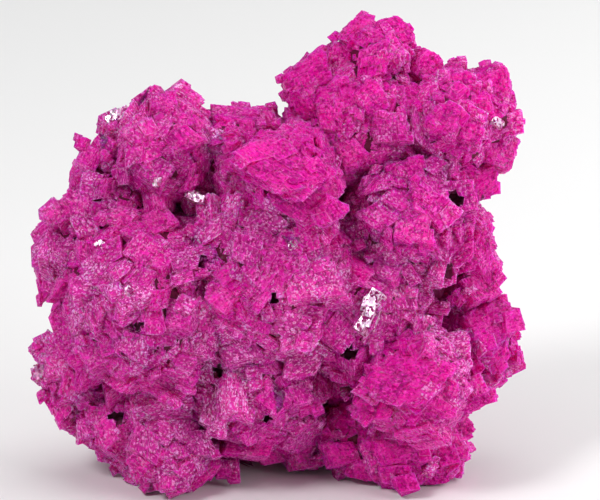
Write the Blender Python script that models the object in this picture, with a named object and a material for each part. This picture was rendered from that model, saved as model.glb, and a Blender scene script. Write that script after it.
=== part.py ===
"""A cobaltoan dolomite hand specimen: pink rhombs grown together into one solid piece.

+X is the viewer's right, +Y runs back from the viewer and +Z is up. The specimen stands on flat spots at
z = 0: two lobes of crystals in front and the foot of the broken back. Lengths are in millimetres until a
mesh is made from them, in metres.
"""

import math
import random

import bmesh
import bpy
from mathutils import Matrix, Vector

MM = 0.001

# The specimen is described as it is seen from the front, from this far above the level. Heights in that
# view are measured from where the front foot meets the floor, this far in front of the middle.
VIEW_ELEVATION = math.radians(20.0)
FRONT_FOOT_DEPTH = -8.0

# Dolomite's cleavage rhomb: every face is a parallelogram with this obtuse angle.
RHOMB_ANGLE = math.radians(101.9)

# The swellings that carry the crystals: across, up the view, depth behind the middle, radius.
LUMPS = {
    "left flank": (-15.5, 24.5, -2.0, 11.2),
    "heart": (-0.8, 28.0, -1.0, 11.6),
    "belly": (-3.3, 15.2, -1.0, 9.0),
    "right heart": (9.2, 24.4, 0.0, 9.4),
    "upper left knob": (-13.6, 43.0, 1.0, 5.8),
    "left shoulder": (-20.4, 36.4, 1.0, 4.6),
    "left edge": (-24.2, 29.2, 2.0, 5.0),
    "left hip": (-24.0, 15.8, 0.0, 4.8),
    "lower left": (-18.4, 10.8, -1.0, 5.8),
    "left foot": (-13.2, 6.7, -5.0, 5.0),
    "saddle knob": (-5.0, 42.2, 2.0, 4.4),
    "saddle ridge": (1.9, 39.8, -6.0, 5.0),
    "tower": (10.8, 46.2, 5.0, 8.0),
    "tower peak": (12.6, 54.4, 6.0, 3.6),
    "tower left": (5.0, 49.4, 4.0, 3.0),
    "tower right": (20.8, 46.4, 4.0, 6.0),
    "tower shoulder": (26.0, 46.4, 5.0, 3.2),
    "right waist": (16.4, 34.6, 0.0, 7.8),
    "right edge": (23.2, 30.4, 3.0, 3.2),
    "right hip": (24.4, 19.4, 3.0, 4.8),
    "lower right": (16.8, 14.6, -6.0, 6.6),
    "right foot": (15.6, 5.9, -3.0, 4.6),
    "right toe": (19.8, 5.7, -2.0, 3.2),
    "arch": (2.6, 7.9, 0.0, 3.0),
    "arch right": (8.6, 7.8, -1.0, 3.4),
}

# The lumps are fused on a grid this fine, and this share of the grid's triangles is kept.
CORE_VOXEL = 1.6
CORE_DETAIL = 0.10

# The crystals that can be told apart in front: across, up the view, the two edges of the face that is
# seen, the first edge's angle in the view, and how far the face is turned to the right and tipped up.
FRONT_CRYSTALS = {
    "tower": (
        (3.9, 51.7, 4.4, 6.4, -69, -10, 10),
        (10.1, 57.4, 4.6, 3.6, -136, 0, 12),
        (14.6, 57.8, 4.4, 4.2, 20, 10, 20),
        (18.9, 53.2, 3.4, 4.2, -50, 15, 10),
        (23.2, 51.4, 3.2, 3.2, 5, 0, 20),
        (27.6, 49.4, 7.6, 4.6, -85, 15, 5),
        (28.0, 43.0, 5.0, 4.8, -25, 20, -5),
        (25.6, 38.4, 3.6, 5.0, -75, 25, 0),
        (23.2, 39.4, 5.0, 4.0, 28, 10, -20),
        (16.2, 40.1, 4.6, 3.6, 10, 0, -5),
        (12.4, 38.5, 4.0, 3.4, -30, 0, 15),
        (8.6, 43.1, 3.6, 3.6, 40, -15, 5),
        (12.0, 49.4, 4.2, 3.8, -60, 5, 20),
        (16.7, 50.0, 4.0, 4.0, 15, 10, 25),
        (20.5, 46.9, 4.2, 3.8, 60, -5, 10),
        (24.0, 46.0, 3.6, 4.2, -20, 20, 0),
        (6.7, 46.9, 3.4, 3.4, 0, -20, -5),
        (3.4, 47.9, 3.0, 3.2, 15, -30, -20),
    ),
    "saddle ridge": (
        (0.9, 40.9, 7.0, 10.6, -140, 5, 25),
        (3.0, 36.0, 5.0, 7.6, -138, 0, -18),
        (5.6, 38.3, 5.0, 5.6, -142, 12, 8),
    ),
    "upper left": (
        (-4.7, 47.4, 7.6, 3.6, -3, -5, 35),
        (-1.4, 47.3, 3.6, 3.4, 5, 5, 30),
        (-11.3, 49.0, 3.8, 4.4, -140, 5, 15),
        (-15.8, 48.8, 4.2, 3.6, -145, -10, 25),
        (-19.3, 46.4, 3.0, 2.6, 10, -10, 30),
        (-17.0, 45.6, 4.0, 3.4, 40, -20, 10),
        (-7.6, 44.4, 3.8, 3.2, -20, 0, 15),
        (-11.4, 44.4, 4.2, 3.6, 30, -5, 10),
        (-21.6, 43.1, 4.0, 3.4, 55, -30, 5),
        (-13.3, 35.9, 4.0, 4.0, -5, 5, 5),
        (-9.5, 37.4, 3.4, 2.0, 20, 5, 30),
        (-19.3, 35.1, 3.0, 4.4, 60, -10, 15),
        (-14.5, 40.6, 4.4, 3.6, -35, -5, 10),
        (-24.6, 37.2, 3.4, 3.0, 35, -35, 10),
        (-23.3, 33.8, 3.6, 3.4, 15, -20, 5),
        (-26.4, 35.6, 3.6, 3.4, 40, -30, 5),
        (-5.5, 35.3, 2.6, 5.4, -15, -25, 15),
        (-7.0, 35.3, 2.2, 5.0, -10, 30, 5),
        (-8.9, 32.9, 3.0, 3.0, 45, 0, -10),
    ),
    "left": (
        (-28.3, 32.2, 3.8, 4.2, -70, -40, 0),
        (-28.7, 26.6, 3.4, 3.8, -60, -40, -5),
        (-23.0, 26.6, 4.6, 3.0, 12, -15, 20),
        (-17.8, 25.6, 3.8, 3.2, 25, 0, 25),
        (-15.8, 30.6, 4.4, 4.2, -40, 5, 0),
        (-11.8, 22.9, 4.2, 3.8, 75, -10, 8),
        (-9.1, 23.6, 2.6, 2.4, -50, 5, 10),
        (-28.3, 18.3, 4.4, 4.8, 40, -25, 10),
        (-26.9, 16.5, 3.2, 2.8, -5, -5, 25),
        (-28.4, 15.6, 2.4, 2.2, 60, -15, 20),
        (-26.8, 12.1, 4.8, 4.4, -55, -15, 0),
        (-22.0, 18.1, 4.0, 3.6, 30, 0, 5),
    ),
    "lower left": (
        (-14.1, 13.4, 8.0, 4.0, 10, 0, 25),
        (-17.0, 18.8, 4.0, 4.0, -20, 0, -25),
        (-7.4, 11.1, 3.8, 4.8, -30, -15, 5),
        (-4.4, 13.4, 2.8, 6.0, -12, 15, 5),
        (-3.3, 8.8, 3.4, 4.0, -50, 5, -10),
        (-0.1, 12.6, 3.6, 4.2, 40, 10, 5),
        (2.6, 13.4, 3.8, 4.0, 20, 10, 15),
        (-9.5, 6.9, 4.0, 3.8, 10, 0, 0),
        (-15.8, 6.9, 4.4, 3.8, -30, -10, -5),
        (-20.8, 8.3, 4.0, 3.6, -60, -20, -10),
        (-16.4, 4.8, 3.6, 3.2, 35, -10, -10),
        (-12.6, 2.8, 4.2, 3.4, 5, 0, -15),
        (-15.2, 1.9, 3.6, 3.0, 12, -5, -20),
        (-5.9, 3.6, 2.8, 2.4, -8, 0, -10),
        (3.4, 4.6, 4.0, 2.8, 8, 0, -15),
        (-0.8, 5.0, 3.0, 2.8, 20, 0, -20),
        (-23.5, 12.5, 3.6, 3.4, 15, -5, -10),
    ),
    "centre": (
        (4.5, 27.5, 7.2, 5.4, 10, 0, 10),
        (2.6, 20.9, 4.4, 4.6, -80, -5, 20),
        (8.0, 20.6, 4.4, 4.0, -40, 10, 0),
        (-4.5, 18.8, 5.0, 3.8, 20, -5, 5),
        (-6.4, 25.6, 4.6, 4.0, 50, -5, 15),
        (-3.3, 30.6, 4.0, 4.0, -15, -10, -15),
        (-0.8, 33.8, 4.4, 3.4, 30, 0, -25),
        (1.8, 32.1, 3.0, 3.0, -30, 10, 30),
        (8.6, 32.5, 4.2, 4.0, 15, -10, 5),
        (11.8, 23.8, 2.6, 5.0, -30, 5, 20),
        (15.8, 25.3, 3.4, 3.8, -5, 5, 10),
        (20.1, 29.1, 2.4, 4.0, -25, 0, 15),
        (16.8, 33.8, 4.6, 4.2, -10, 0, 15),
        (12.8, 35.0, 4.0, 3.8, 35, -5, 20),
        (19.3, 36.3, 5.0, 3.8, -35, 10, 15),
        (13.6, 28.8, 4.0, 4.0, 60, 0, 0),
        (18.0, 20.6, 2.4, 4.6, -20, 20, 5),
    ),
    "right": (
        (24.5, 31.3, 5.2, 5.2, -65, 20, 5),
        (25.9, 33.6, 3.4, 3.2, -30, 35, 5),
        (27.0, 28.2, 3.6, 3.4, -45, 35, 0),
        (27.3, 21.3, 5.6, 7.4, -80, 25, 12),
        (23.6, 17.5, 4.0, 4.4, -50, 5, 20),
        (24.4, 12.4, 4.4, 4.0, 30, 25, -15),
        (22.9, 9.0, 3.8, 3.6, 20, 25, -10),
        (27.5, 15.6, 3.4, 3.0, 25, 30, -5),
        (21.8, 24.4, 4.4, 4.6, -70, 0, 0),
        (27.6, 17.6, 3.6, 4.2, -60, 30, 0),
    ),
    "lower right": (
        (16.1, 15.0, 8.0, 9.0, -125, 0, 15),
        (12.4, 11.9, 5.0, 5.0, -110, -25, 5),
        (20.5, 13.4, 5.0, 5.0, -20, 15, 5),
        (15.5, 6.0, 6.0, 3.6, 8, 0, -5),
        (21.1, 6.0, 4.6, 3.8, 20, 15, -5),
        (11.1, 7.2, 4.2, 4.0, -15, -15, -5),
        (14.9, 2.8, 4.4, 3.0, 5, 0, -20),
        (19.8, 2.6, 4.0, 2.8, 8, 5, -20),
        (11.2, 3.2, 3.4, 3.0, -10, -5, -20),
        (8.0, 11.9, 3.6, 3.6, 0, -30, -15),
        (8.6, 5.6, 3.8, 3.2, 12, 5, -15),
    ),
}

# Their faces stand this far out of the lumps, are turned at random by up to this many degrees, and their
# third edge is this share of the other two.
FACE_RISE = 1.3
FACE_WOBBLE = 9.0
DEPTH_SHARE = 0.8

# Crystals that fill the rest: sides, top, underside and the rim behind. Large ones come first. Each is
# tried at random on a lump, and kept where it has room. Neighbours share a direction of growth, apart
# from strays.
FILL_SEED = 41
FILL_TRIES = 130
FILL_SIZES = (5.4, 3.8)
FILL_SPREAD = 0.25
FILL_CROWDING = 0.95
FILL_SINK = 0.12
FAMILY_COUNT = 34
FAMILY_REACH = ((-31.0, 31.0), (-16.0, 16.0), (0.0, 58.0))
FAMILY_WOBBLE = 16.0
STRAY_SHARE = 0.3
BURIED = 0.2
BACK_OVERGROWTH = 0.5
LOWEST_FILL = 0.5

# Faces that differ by less than this are one face.
SAME_FACE_ANGLE = math.radians(0.05)

# The finish: dolomite with enough cobalt to be hot pink, on cleavage faces that shine.
PINK = (0.52, 0.03, 0.26)
GLOSS_ROUGHNESS = 0.35

# The blocks below are parted from a cube of this size, and what is under the floor is cut off by a slab.
UNCUT_SIZE = 200.0
FLOOR_SLAB = (120.0, 120.0, 30.0)

# The broken back: a block bounded by fracture faces, each a direction (round from +X, then up) and a
# distance from the middle.
BACK_CENTRE = Vector((-0.5, 8.5, 22.0))
BACK_FRACTURES = (
    (90, 4, 8.2), (72, -22, 9.0), (112, 26, 9.4), (128, -12, 12.6), (50, 18, 13.0),
    (18, 6, 19.0), (-6, -24, 19.4), (30, 44, 20.0), (165, 10, 18.8), (182, -20, 19.0),
    (150, 46, 20.4), (90, 78, 21.0), (20, -52, 24.0), (158, -50, 24.2), (88, -36, 17.6),
    (270, 0, 7.0), (240, 30, 15.0), (300, 28, 15.4), (250, -30, 15.6), (292, -32, 15.8),
)

# Flakes broken off it, which leave ledges: a flake's inner corner, and the directions of its three
# broken faces (round from +X, then up).
BACK_FLAKES = (
    ((-5.5, 14.0, 29.0), ((97, 6), (196, 14), (55, 62))),
    ((9.0, 12.8, 21.0), ((80, -4), (-12, 10), (104, -66))),
    ((-3.0, 13.2, 13.5), ((94, -10), (168, -16), (86, -72))),
    ((6.5, 13.0, 31.5), ((76, 8), (8, 22), (112, 58))),
    ((-13.5, 11.4, 21.0), ((114, -4), (188, 20), (64, -60))),
    ((-9.5, 13.2, 22.5), ((100, 2), (176, -8), (240, 70))),
    ((2.0, 13.8, 38.0), ((84, 18), (172, 10), (250, 72))),
    ((-12.0, 11.4, 32.0), ((120, 22), (60, 40), (196, -8))),
    ((13.5, 9.8, 28.5), ((60, 10), (-4, -10), (96, 66))),
    ((2.5, 13.6, 25.5), ((90, -4), (26, 8), (92, -66))),
    ((-1.0, 13.2, 7.0), ((86, -16), (6, -4), (100, 64))),
    ((12.0, 9.6, 10.0), ((58, -20), (-10, 8), (96, 64))),
)


def view_axes():
    """The front view's right, its up, and the direction from the specimen to the viewer."""
    rise, level = math.sin(VIEW_ELEVATION), math.cos(VIEW_ELEVATION)
    return Vector((1, 0, 0)), Vector((0, rise, level)), Vector((0, -level, rise))


# A line of sight starts this far in front, ends after this length, and steps by a share of its distance
# from the lumps until it touches them.
SIGHT_START = 60.0
SIGHT_LENGTH = 110.0
SIGHT_STEP = 0.05
SIGHT_CAUTION = 0.9
SIGHT_TOUCH = 0.02

RIGHT, UP, TO_VIEWER = view_axes()
FLOOR_LINE = -FRONT_FOOT_DEPTH * math.sin(VIEW_ELEVATION)


def placed(across, up, depth):
    """The point at this depth that is seen at (across, up), where up is measured from the front foot."""
    height = (up - FLOOR_LINE - depth * math.sin(VIEW_ELEVATION)) / math.cos(VIEW_ELEVATION)
    return Vector((across, depth, height))


BALLS = [(placed(across, up, depth), radius) for across, up, depth, radius in LUMPS.values()]


def distance_out(point):
    """How far a point is outside the lumps."""
    return min((point - centre).length - radius for centre, radius in BALLS)


def seen_at(across, up):
    """The point of the lumps that is seen at (across, up). Beside them, the nearest they come to it."""
    start = RIGHT * across + UP * (up - FLOOR_LINE) + TO_VIEWER * SIGHT_START
    travelled, nearest, nearest_point = 0.0, math.inf, start
    while travelled < SIGHT_LENGTH:
        point = start - TO_VIEWER * travelled
        distance = distance_out(point)
        if distance < nearest:
            nearest, nearest_point = distance, point
        if distance < SIGHT_TOUCH:
            break
        travelled += max(SIGHT_STEP, distance * SIGHT_CAUTION)
    return nearest_point


def direction(around, lift):
    """The unit vector that many degrees round from +X and up from the level."""
    a, b = math.radians(around), math.radians(lift)
    return Vector((math.cos(a) * math.cos(b), math.sin(a) * math.cos(b), math.sin(b)))


def back_planes():
    """The planes that bound the broken back, each as (point, outward direction)."""
    outward = [(direction(around, lift), distance) for around, lift, distance in BACK_FRACTURES]
    return [(BACK_CENTRE + way * distance, way) for way, distance in outward]


def flake_planes(corner, ways):
    """A flake is what lies outside all three of its broken faces."""
    return [(Vector(corner), -direction(around, lift)) for around, lift in ways]


def depth_in_back(point):
    """How deep a point lies inside the block behind."""
    return min((start - point).dot(outward) for start, outward in back_planes())


def rhomb_edges():
    """Edge directions of the rhomb: the first two lie in its front face, and the third runs back."""
    cosine, sine = math.cos(RHOMB_ANGLE), math.sin(RHOMB_ANGLE)
    sideways = (cosine - cosine * cosine) / sine
    back = -math.sqrt(1 - cosine * cosine - sideways * sideways)
    return Vector((1, 0, 0)), Vector((cosine, sine, 0)), Vector((cosine, sideways, back))


EDGES = rhomb_edges()


def turned(spin, turn, tip):
    """Rotation of a rhomb whose front face looks at the viewer, then turned right and tipped up."""
    view = Matrix((RIGHT, UP, TO_VIEWER)).transposed()
    return (
        view
        @ Matrix.Rotation(math.radians(turn), 3, "Y")
        @ Matrix.Rotation(math.radians(-tip), 3, "X")
        @ Matrix.Rotation(math.radians(spin), 3, "Z")
    )


def front_crystals():
    """The hand-placed crystals as (centre, rotation, edge lengths)."""
    chance = random.Random(FILL_SEED)
    found = []
    for group in FRONT_CRYSTALS.values():
        for across, up, first, second, spin, turn, tip in group:
            tilts = [chance.uniform(-FACE_WOBBLE, FACE_WOBBLE) for _ in range(2)]
            rotation = turned(spin, turn + tilts[0], tip + tilts[1])
            third = DEPTH_SHARE * (first + second) / 2
            face = seen_at(across, up) + TO_VIEWER * FACE_RISE
            found.append((face + rotation @ EDGES[2] * (third / 2), rotation, (first, second, third)))
    return found


def random_rotation(chance, degrees=180.0):
    """A rotation of up to that many degrees about a random axis."""
    axis = Vector([chance.gauss(0, 1) for _ in range(3)]).normalized()
    return Matrix.Rotation(math.radians(chance.uniform(-degrees, degrees)), 3, axis)


def fill_crystals(taken):
    """Crystals on what is left of the lumps, in families that share a direction of growth."""
    chance = random.Random(FILL_SEED + 1)
    families = []
    for _ in range(FAMILY_COUNT):
        place = Vector([chance.uniform(low, high) for low, high in FAMILY_REACH])
        families.append((place, random_rotation(chance)))
    found = list(taken)
    for size_mean in FILL_SIZES:
        for centre, radius in BALLS:
            for _ in range(FILL_TRIES):
                out = Vector([chance.gauss(0, 1) for _ in range(3)]).normalized()
                lengths = [size_mean * chance.uniform(1 - FILL_SPREAD, 1 + FILL_SPREAD) for _ in range(3)]
                spin = random_rotation(chance, FAMILY_WOBBLE)
                stray = random_rotation(chance) if chance.random() < STRAY_SHARE else None
                place = centre + out * radius
                if distance_out(place) < -BURIED or depth_in_back(place) > BACK_OVERGROWTH:
                    continue
                if place.z < LOWEST_FILL:
                    continue
                place -= out * (FILL_SINK * size_mean)
                room = [
                    (place - other).length - FILL_CROWDING * (sum(lengths) + sum(sizes)) / 6
                    for other, _, sizes in found
                ]
                if min(room) < 0:
                    continue
                kin = min(families, key=lambda family: (family[0] - place).length)
                found.append((place, stray or spin @ kin[1], tuple(lengths)))
    return found[len(taken):]


def mesh_object(name, edit, collection):
    """A new object from a bmesh in millimetres."""
    edit.normal_update()
    bmesh.ops.scale(edit, vec=Vector((MM, MM, MM)), verts=edit.verts)
    mesh = bpy.data.meshes.new(name)
    edit.to_mesh(mesh)
    edit.free()
    made = bpy.data.objects.new(name, mesh)
    collection.objects.link(made)
    return made


def rhomb(crystal, name, collection):
    """One rhomb as a closed block of six flat faces."""
    centre, rotation, lengths = crystal
    edit = bmesh.new()
    bmesh.ops.create_cube(edit, size=1.0)
    for vertex in edit.verts:
        corner = sum((EDGES[k] * lengths[k] * vertex.co[k] for k in range(3)), Vector())
        vertex.co = centre + rotation @ corner
    bmesh.ops.recalc_face_normals(edit, faces=edit.faces)
    return mesh_object(name, edit, collection)


def lump_core(collection):
    """The lumps fused into one body, in few faces: it only shows between crystals."""
    edit = bmesh.new()
    for centre, radius in BALLS:
        bmesh.ops.create_icosphere(edit, subdivisions=2, radius=radius, matrix=Matrix.Translation(centre))
    core = mesh_object("dolomite_cluster", edit, collection)
    fuse = core.modifiers.new("fuse", "REMESH")
    fuse.mode = "VOXEL"
    fuse.voxel_size = CORE_VOXEL * MM
    thin = core.modifiers.new("thin", "DECIMATE")
    thin.ratio = CORE_DETAIL
    return core


def parted_block(name, planes, collection):
    """What a large cube keeps once it is parted along each plane."""
    edit = bmesh.new()
    bmesh.ops.create_cube(edit, size=UNCUT_SIZE)
    for point, outward in planes:
        cut = bmesh.ops.bisect_plane(
            edit, geom=edit.verts[:] + edit.edges[:] + edit.faces[:],
            plane_co=point, plane_no=outward, clear_outer=True,
        )
        rim = [part for part in cut["geom_cut"] if isinstance(part, bmesh.types.BMEdge)]
        if rim:
            bmesh.ops.contextual_create(edit, geom=rim)
    bmesh.ops.recalc_face_normals(edit, faces=edit.faces)
    return mesh_object(name, edit, collection)


def floor_cutter(collection):
    """A slab under z = 0, which cuts the feet off flat."""
    edit = bmesh.new()
    bmesh.ops.create_cube(edit, size=1.0)
    bmesh.ops.scale(edit, vec=Vector(FLOOR_SLAB), verts=edit.verts)
    bmesh.ops.translate(edit, vec=Vector((0, 0, -FLOOR_SLAB[2] / 2)), verts=edit.verts)
    return mesh_object("floor_cutter", edit, collection)


def as_helper(made):
    """Marks a cutter: it shapes its neighbour and isn't part of the specimen."""
    made.hide_render = True
    made.display_type = "WIRE"


def boolean(target, operation, operand):
    """Adds a Boolean with one object, or with every object of a collection."""
    step = target.modifiers.new(operation.lower(), "BOOLEAN")
    step.operation = operation
    step.solver = "EXACT"
    if isinstance(operand, bpy.types.Collection):
        step.operand_type = "COLLECTION"
        step.collection = operand
    else:
        step.object = operand


def keep_outer_shell(target):
    """Makes the modifiers' result the object's mesh, without the small voids sealed between crystals."""
    bpy.context.view_layer.update()
    whole = bpy.data.meshes.new_from_object(target.evaluated_get(bpy.context.evaluated_depsgraph_get()))
    edit = bmesh.new()
    edit.from_mesh(whole)
    unseen, shells = set(edit.verts), []
    while unseen:
        shell, edge_of_search = set(), [unseen.pop()]
        while edge_of_search:
            vertex = edge_of_search.pop()
            shell.add(vertex)
            near = {edge.other_vert(vertex) for edge in vertex.link_edges} & unseen
            unseen -= near
            edge_of_search.extend(near)
        shells.append(shell)
    outer = max(shells, key=len)
    bmesh.ops.delete(edit, geom=[v for v in edit.verts if v not in outer], context="VERTS")
    bmesh.ops.dissolve_limit(edit, angle_limit=SAME_FACE_ANGLE, verts=edit.verts, edges=edit.edges)
    bmesh.ops.triangulate(edit, faces=edit.faces)
    edit.to_mesh(target.data)
    edit.free()
    target.modifiers.clear()
    bpy.data.meshes.remove(whole)


def centre_on_base(target):
    """Moves the mesh so that the middle of its box, seen from above, is at the origin."""
    places = [vertex.co for vertex in target.data.vertices]
    middle = [(min(p[k] for p in places) + max(p[k] for p in places)) / 2 for k in range(2)]
    target.data.transform(Matrix.Translation((-middle[0], -middle[1], 0.0)))
    print("moved by", [round(-m / MM, 3) for m in middle])


def finish_material(name, colour, roughness):
    """A plain material with the piece's colour and gloss."""
    material = bpy.data.materials.new(name)
    material.use_nodes = True
    surface = material.node_tree.nodes["Principled BSDF"]
    surface.inputs["Base Color"].default_value = (*colour, 1.0)
    surface.inputs["Roughness"].default_value = roughness
    surface.inputs["Metallic"].default_value = 0.0
    return material


def main():
    for old in list(bpy.data.objects):
        bpy.data.objects.remove(old, do_unlink=True)
    scene_collection = bpy.context.scene.collection
    fused = bpy.data.collections.new("fused forms")
    scene_collection.children.link(fused)

    back = parted_block("broken_back", back_planes(), fused)
    as_helper(back)
    for number, (corner, ways) in enumerate(BACK_FLAKES):
        flake = parted_block(f"flake_{number}", flake_planes(corner, ways), scene_collection)
        as_helper(flake)
        boolean(back, "DIFFERENCE", flake)

    cluster = lump_core(scene_collection)
    crystals = front_crystals()
    crystals += fill_crystals(crystals)
    for number, crystal in enumerate(crystals):
        as_helper(rhomb(crystal, f"rhomb_{number:03d}", fused))
    boolean(cluster, "UNION", fused)
    keep_outer_shell(cluster)

    floor = floor_cutter(scene_collection)
    as_helper(floor)
    boolean(cluster, "DIFFERENCE", floor)
    keep_outer_shell(cluster)
    centre_on_base(cluster)
    cluster.data.materials.append(finish_material("pink dolomite", PINK, GLOSS_ROUGHNESS))
    print(len(crystals), "crystals")


main()
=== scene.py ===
"""The cobaltoan dolomite specimen, dressed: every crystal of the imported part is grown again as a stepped,
slightly curved rhomb, with younger crystals on it, and its back as broken, grainy dolomite.

Lengths are in millimetres where crystals are placed, as in the part, and in metres in Blender.
"""

import math
import random

import bmesh
import bpy
import numpy as np
from mathutils import Matrix, Vector


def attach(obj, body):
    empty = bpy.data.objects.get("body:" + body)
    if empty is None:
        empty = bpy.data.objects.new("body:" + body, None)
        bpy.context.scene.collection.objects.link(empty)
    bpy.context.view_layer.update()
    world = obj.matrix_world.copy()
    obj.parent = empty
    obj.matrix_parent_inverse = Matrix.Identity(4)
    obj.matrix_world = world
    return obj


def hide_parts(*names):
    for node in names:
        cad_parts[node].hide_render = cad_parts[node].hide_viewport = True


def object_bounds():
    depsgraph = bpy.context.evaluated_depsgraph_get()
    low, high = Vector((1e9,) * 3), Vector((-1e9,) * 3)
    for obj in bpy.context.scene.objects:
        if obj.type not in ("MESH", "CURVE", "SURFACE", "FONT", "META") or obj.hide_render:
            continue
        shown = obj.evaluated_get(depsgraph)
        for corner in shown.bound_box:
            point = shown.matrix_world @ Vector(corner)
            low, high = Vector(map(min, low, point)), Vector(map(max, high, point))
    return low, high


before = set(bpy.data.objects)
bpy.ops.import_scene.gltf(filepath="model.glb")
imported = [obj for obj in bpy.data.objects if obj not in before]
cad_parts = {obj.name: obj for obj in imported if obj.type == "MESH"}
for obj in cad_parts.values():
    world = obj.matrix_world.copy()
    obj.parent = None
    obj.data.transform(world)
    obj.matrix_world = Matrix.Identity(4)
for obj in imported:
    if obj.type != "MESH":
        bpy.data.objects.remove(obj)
cad_low, cad_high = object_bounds()
MM = 0.001

# The swellings
#
# The specimen swelled out of its vug's wall in rounded lumps that ran into one another. They are placed
# as the front view shows them, 20 degrees from above, and carry all the crystals.

VIEW_ELEVATION = math.radians(20.0)
FRONT_FOOT_DEPTH = -8.0
CENTRED = Vector((0.043, -0.230, 0.0))
LUMPS = {
    "left flank": (-15.5, 24.5, -2.0, 11.2),
    "heart": (-0.8, 28.0, -1.0, 11.6),
    "belly": (-3.3, 15.2, -1.0, 9.0),
    "right heart": (9.2, 24.4, 0.0, 9.4),
    "upper left knob": (-13.6, 43.0, 1.0, 5.8),
    "left shoulder": (-20.4, 36.4, 1.0, 4.6),
    "left edge": (-24.2, 29.2, 2.0, 5.0),
    "left hip": (-24.0, 15.8, 0.0, 4.8),
    "lower left": (-18.4, 10.8, -1.0, 5.8),
    "left foot": (-13.2, 6.7, -5.0, 5.0),
    "saddle knob": (-5.0, 42.2, 2.0, 4.4),
    "saddle ridge": (1.9, 39.8, -6.0, 5.0),
    "tower": (10.8, 46.2, 5.0, 8.0),
    "tower peak": (12.6, 54.4, 6.0, 3.6),
    "tower left": (5.0, 49.4, 4.0, 3.0),
    "tower right": (20.8, 46.4, 4.0, 6.0),
    "tower shoulder": (26.0, 46.4, 5.0, 3.2),
    "right waist": (16.4, 34.6, 0.0, 7.8),
    "right edge": (23.2, 30.4, 3.0, 3.2),
    "right hip": (24.4, 19.4, 3.0, 4.8),
    "lower right": (16.8, 14.6, -6.0, 6.6),
    "right foot": (15.6, 5.9, -3.0, 4.6),
    "right toe": (19.8, 5.7, -2.0, 3.2),
    "arch": (2.6, 7.9, 0.0, 3.0),
    "arch right": (8.6, 7.8, -1.0, 3.4),
}

def view_axes():
    """The front view's right, its up, and the direction from the specimen to the viewer."""
    rise, level = math.sin(VIEW_ELEVATION), math.cos(VIEW_ELEVATION)
    return Vector((1, 0, 0)), Vector((0, rise, level)), Vector((0, -level, rise))


# A line of sight starts this far in front, ends after this length, and steps by a share of its distance
# from the lumps until it touches them.
SIGHT_START = 60.0
SIGHT_LENGTH = 110.0
SIGHT_STEP = 0.05
SIGHT_CAUTION = 0.9
SIGHT_TOUCH = 0.02

RIGHT, UP, TO_VIEWER = view_axes()
FLOOR_LINE = -FRONT_FOOT_DEPTH * math.sin(VIEW_ELEVATION)


def placed(across, up, depth):
    """The point at this depth that is seen at (across, up), where up is measured from the front foot."""
    height = (up - FLOOR_LINE - depth * math.sin(VIEW_ELEVATION)) / math.cos(VIEW_ELEVATION)
    return Vector((across, depth, height))

BALLS = [(placed(across, up, depth), radius) for across, up, depth, radius in LUMPS.values()]


def distance_out(point):
    """How far a point is outside the lumps."""
    return min((point - centre).length - radius for centre, radius in BALLS)


def seen_at(across, up):
    """The point of the lumps that is seen at (across, up). Beside them, the nearest they come to it."""
    start = RIGHT * across + UP * (up - FLOOR_LINE) + TO_VIEWER * SIGHT_START
    travelled, nearest, nearest_point = 0.0, math.inf, start
    while travelled < SIGHT_LENGTH:
        point = start - TO_VIEWER * travelled
        distance = distance_out(point)
        if distance < nearest:
            nearest, nearest_point = distance, point
        if distance < SIGHT_TOUCH:
            break
        travelled += max(SIGHT_STEP, distance * SIGHT_CAUTION)
    return nearest_point


# The broken back
#
# Where the specimen came away from the vug's wall it is massive dolomite without free crystals, broken
# in ledges. Its bounding faces are the part's; the block is dressed further down.

# The broken back: a block bounded by fracture faces, each a direction (round from +X, then up) and a
# distance from the middle.
BACK_CENTRE = Vector((-0.5, 8.5, 22.0))
BACK_FRACTURES = (
    (90, 4, 8.2), (72, -22, 9.0), (112, 26, 9.4), (128, -12, 12.6), (50, 18, 13.0),
    (18, 6, 19.0), (-6, -24, 19.4), (30, 44, 20.0), (165, 10, 18.8), (182, -20, 19.0),
    (150, 46, 20.4), (90, 78, 21.0), (20, -52, 24.0), (158, -50, 24.2), (88, -36, 17.6),
    (270, 0, 7.0), (240, 30, 15.0), (300, 28, 15.4), (250, -30, 15.6), (292, -32, 15.8),
)

# Flakes broken off it, which leave ledges: a flake's inner corner, and the directions of its three
# broken faces (round from +X, then up).
BACK_FLAKES = (
    ((-5.5, 14.0, 29.0), ((97, 6), (196, 14), (55, 62))),
    ((9.0, 12.8, 21.0), ((80, -4), (-12, 10), (104, -66))),
    ((-3.0, 13.2, 13.5), ((94, -10), (168, -16), (86, -72))),
    ((6.5, 13.0, 31.5), ((76, 8), (8, 22), (112, 58))),
    ((-13.5, 11.4, 21.0), ((114, -4), (188, 20), (64, -60))),
    ((-9.5, 13.2, 22.5), ((100, 2), (176, -8), (240, 70))),
    ((2.0, 13.8, 38.0), ((84, 18), (172, 10), (250, 72))),
    ((-12.0, 11.4, 32.0), ((120, 22), (60, 40), (196, -8))),
    ((13.5, 9.8, 28.5), ((60, 10), (-4, -10), (96, 66))),
    ((2.5, 13.6, 25.5), ((90, -4), (26, 8), (92, -66))),
    ((-1.0, 13.2, 7.0), ((86, -16), (6, -4), (100, 64))),
    ((12.0, 9.6, 10.0), ((58, -20), (-10, 8), (96, 64))),
)

def direction(around, lift):
    """The unit vector that many degrees round from +X and up from the level."""
    a, b = math.radians(around), math.radians(lift)
    return Vector((math.cos(a) * math.cos(b), math.sin(a) * math.cos(b), math.sin(b)))


def back_planes():
    """The planes that bound the broken back, each as (point, outward direction)."""
    outward = [(direction(around, lift), distance) for around, lift, distance in BACK_FRACTURES]
    return [(BACK_CENTRE + way * distance, way) for way, distance in outward]


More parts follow.
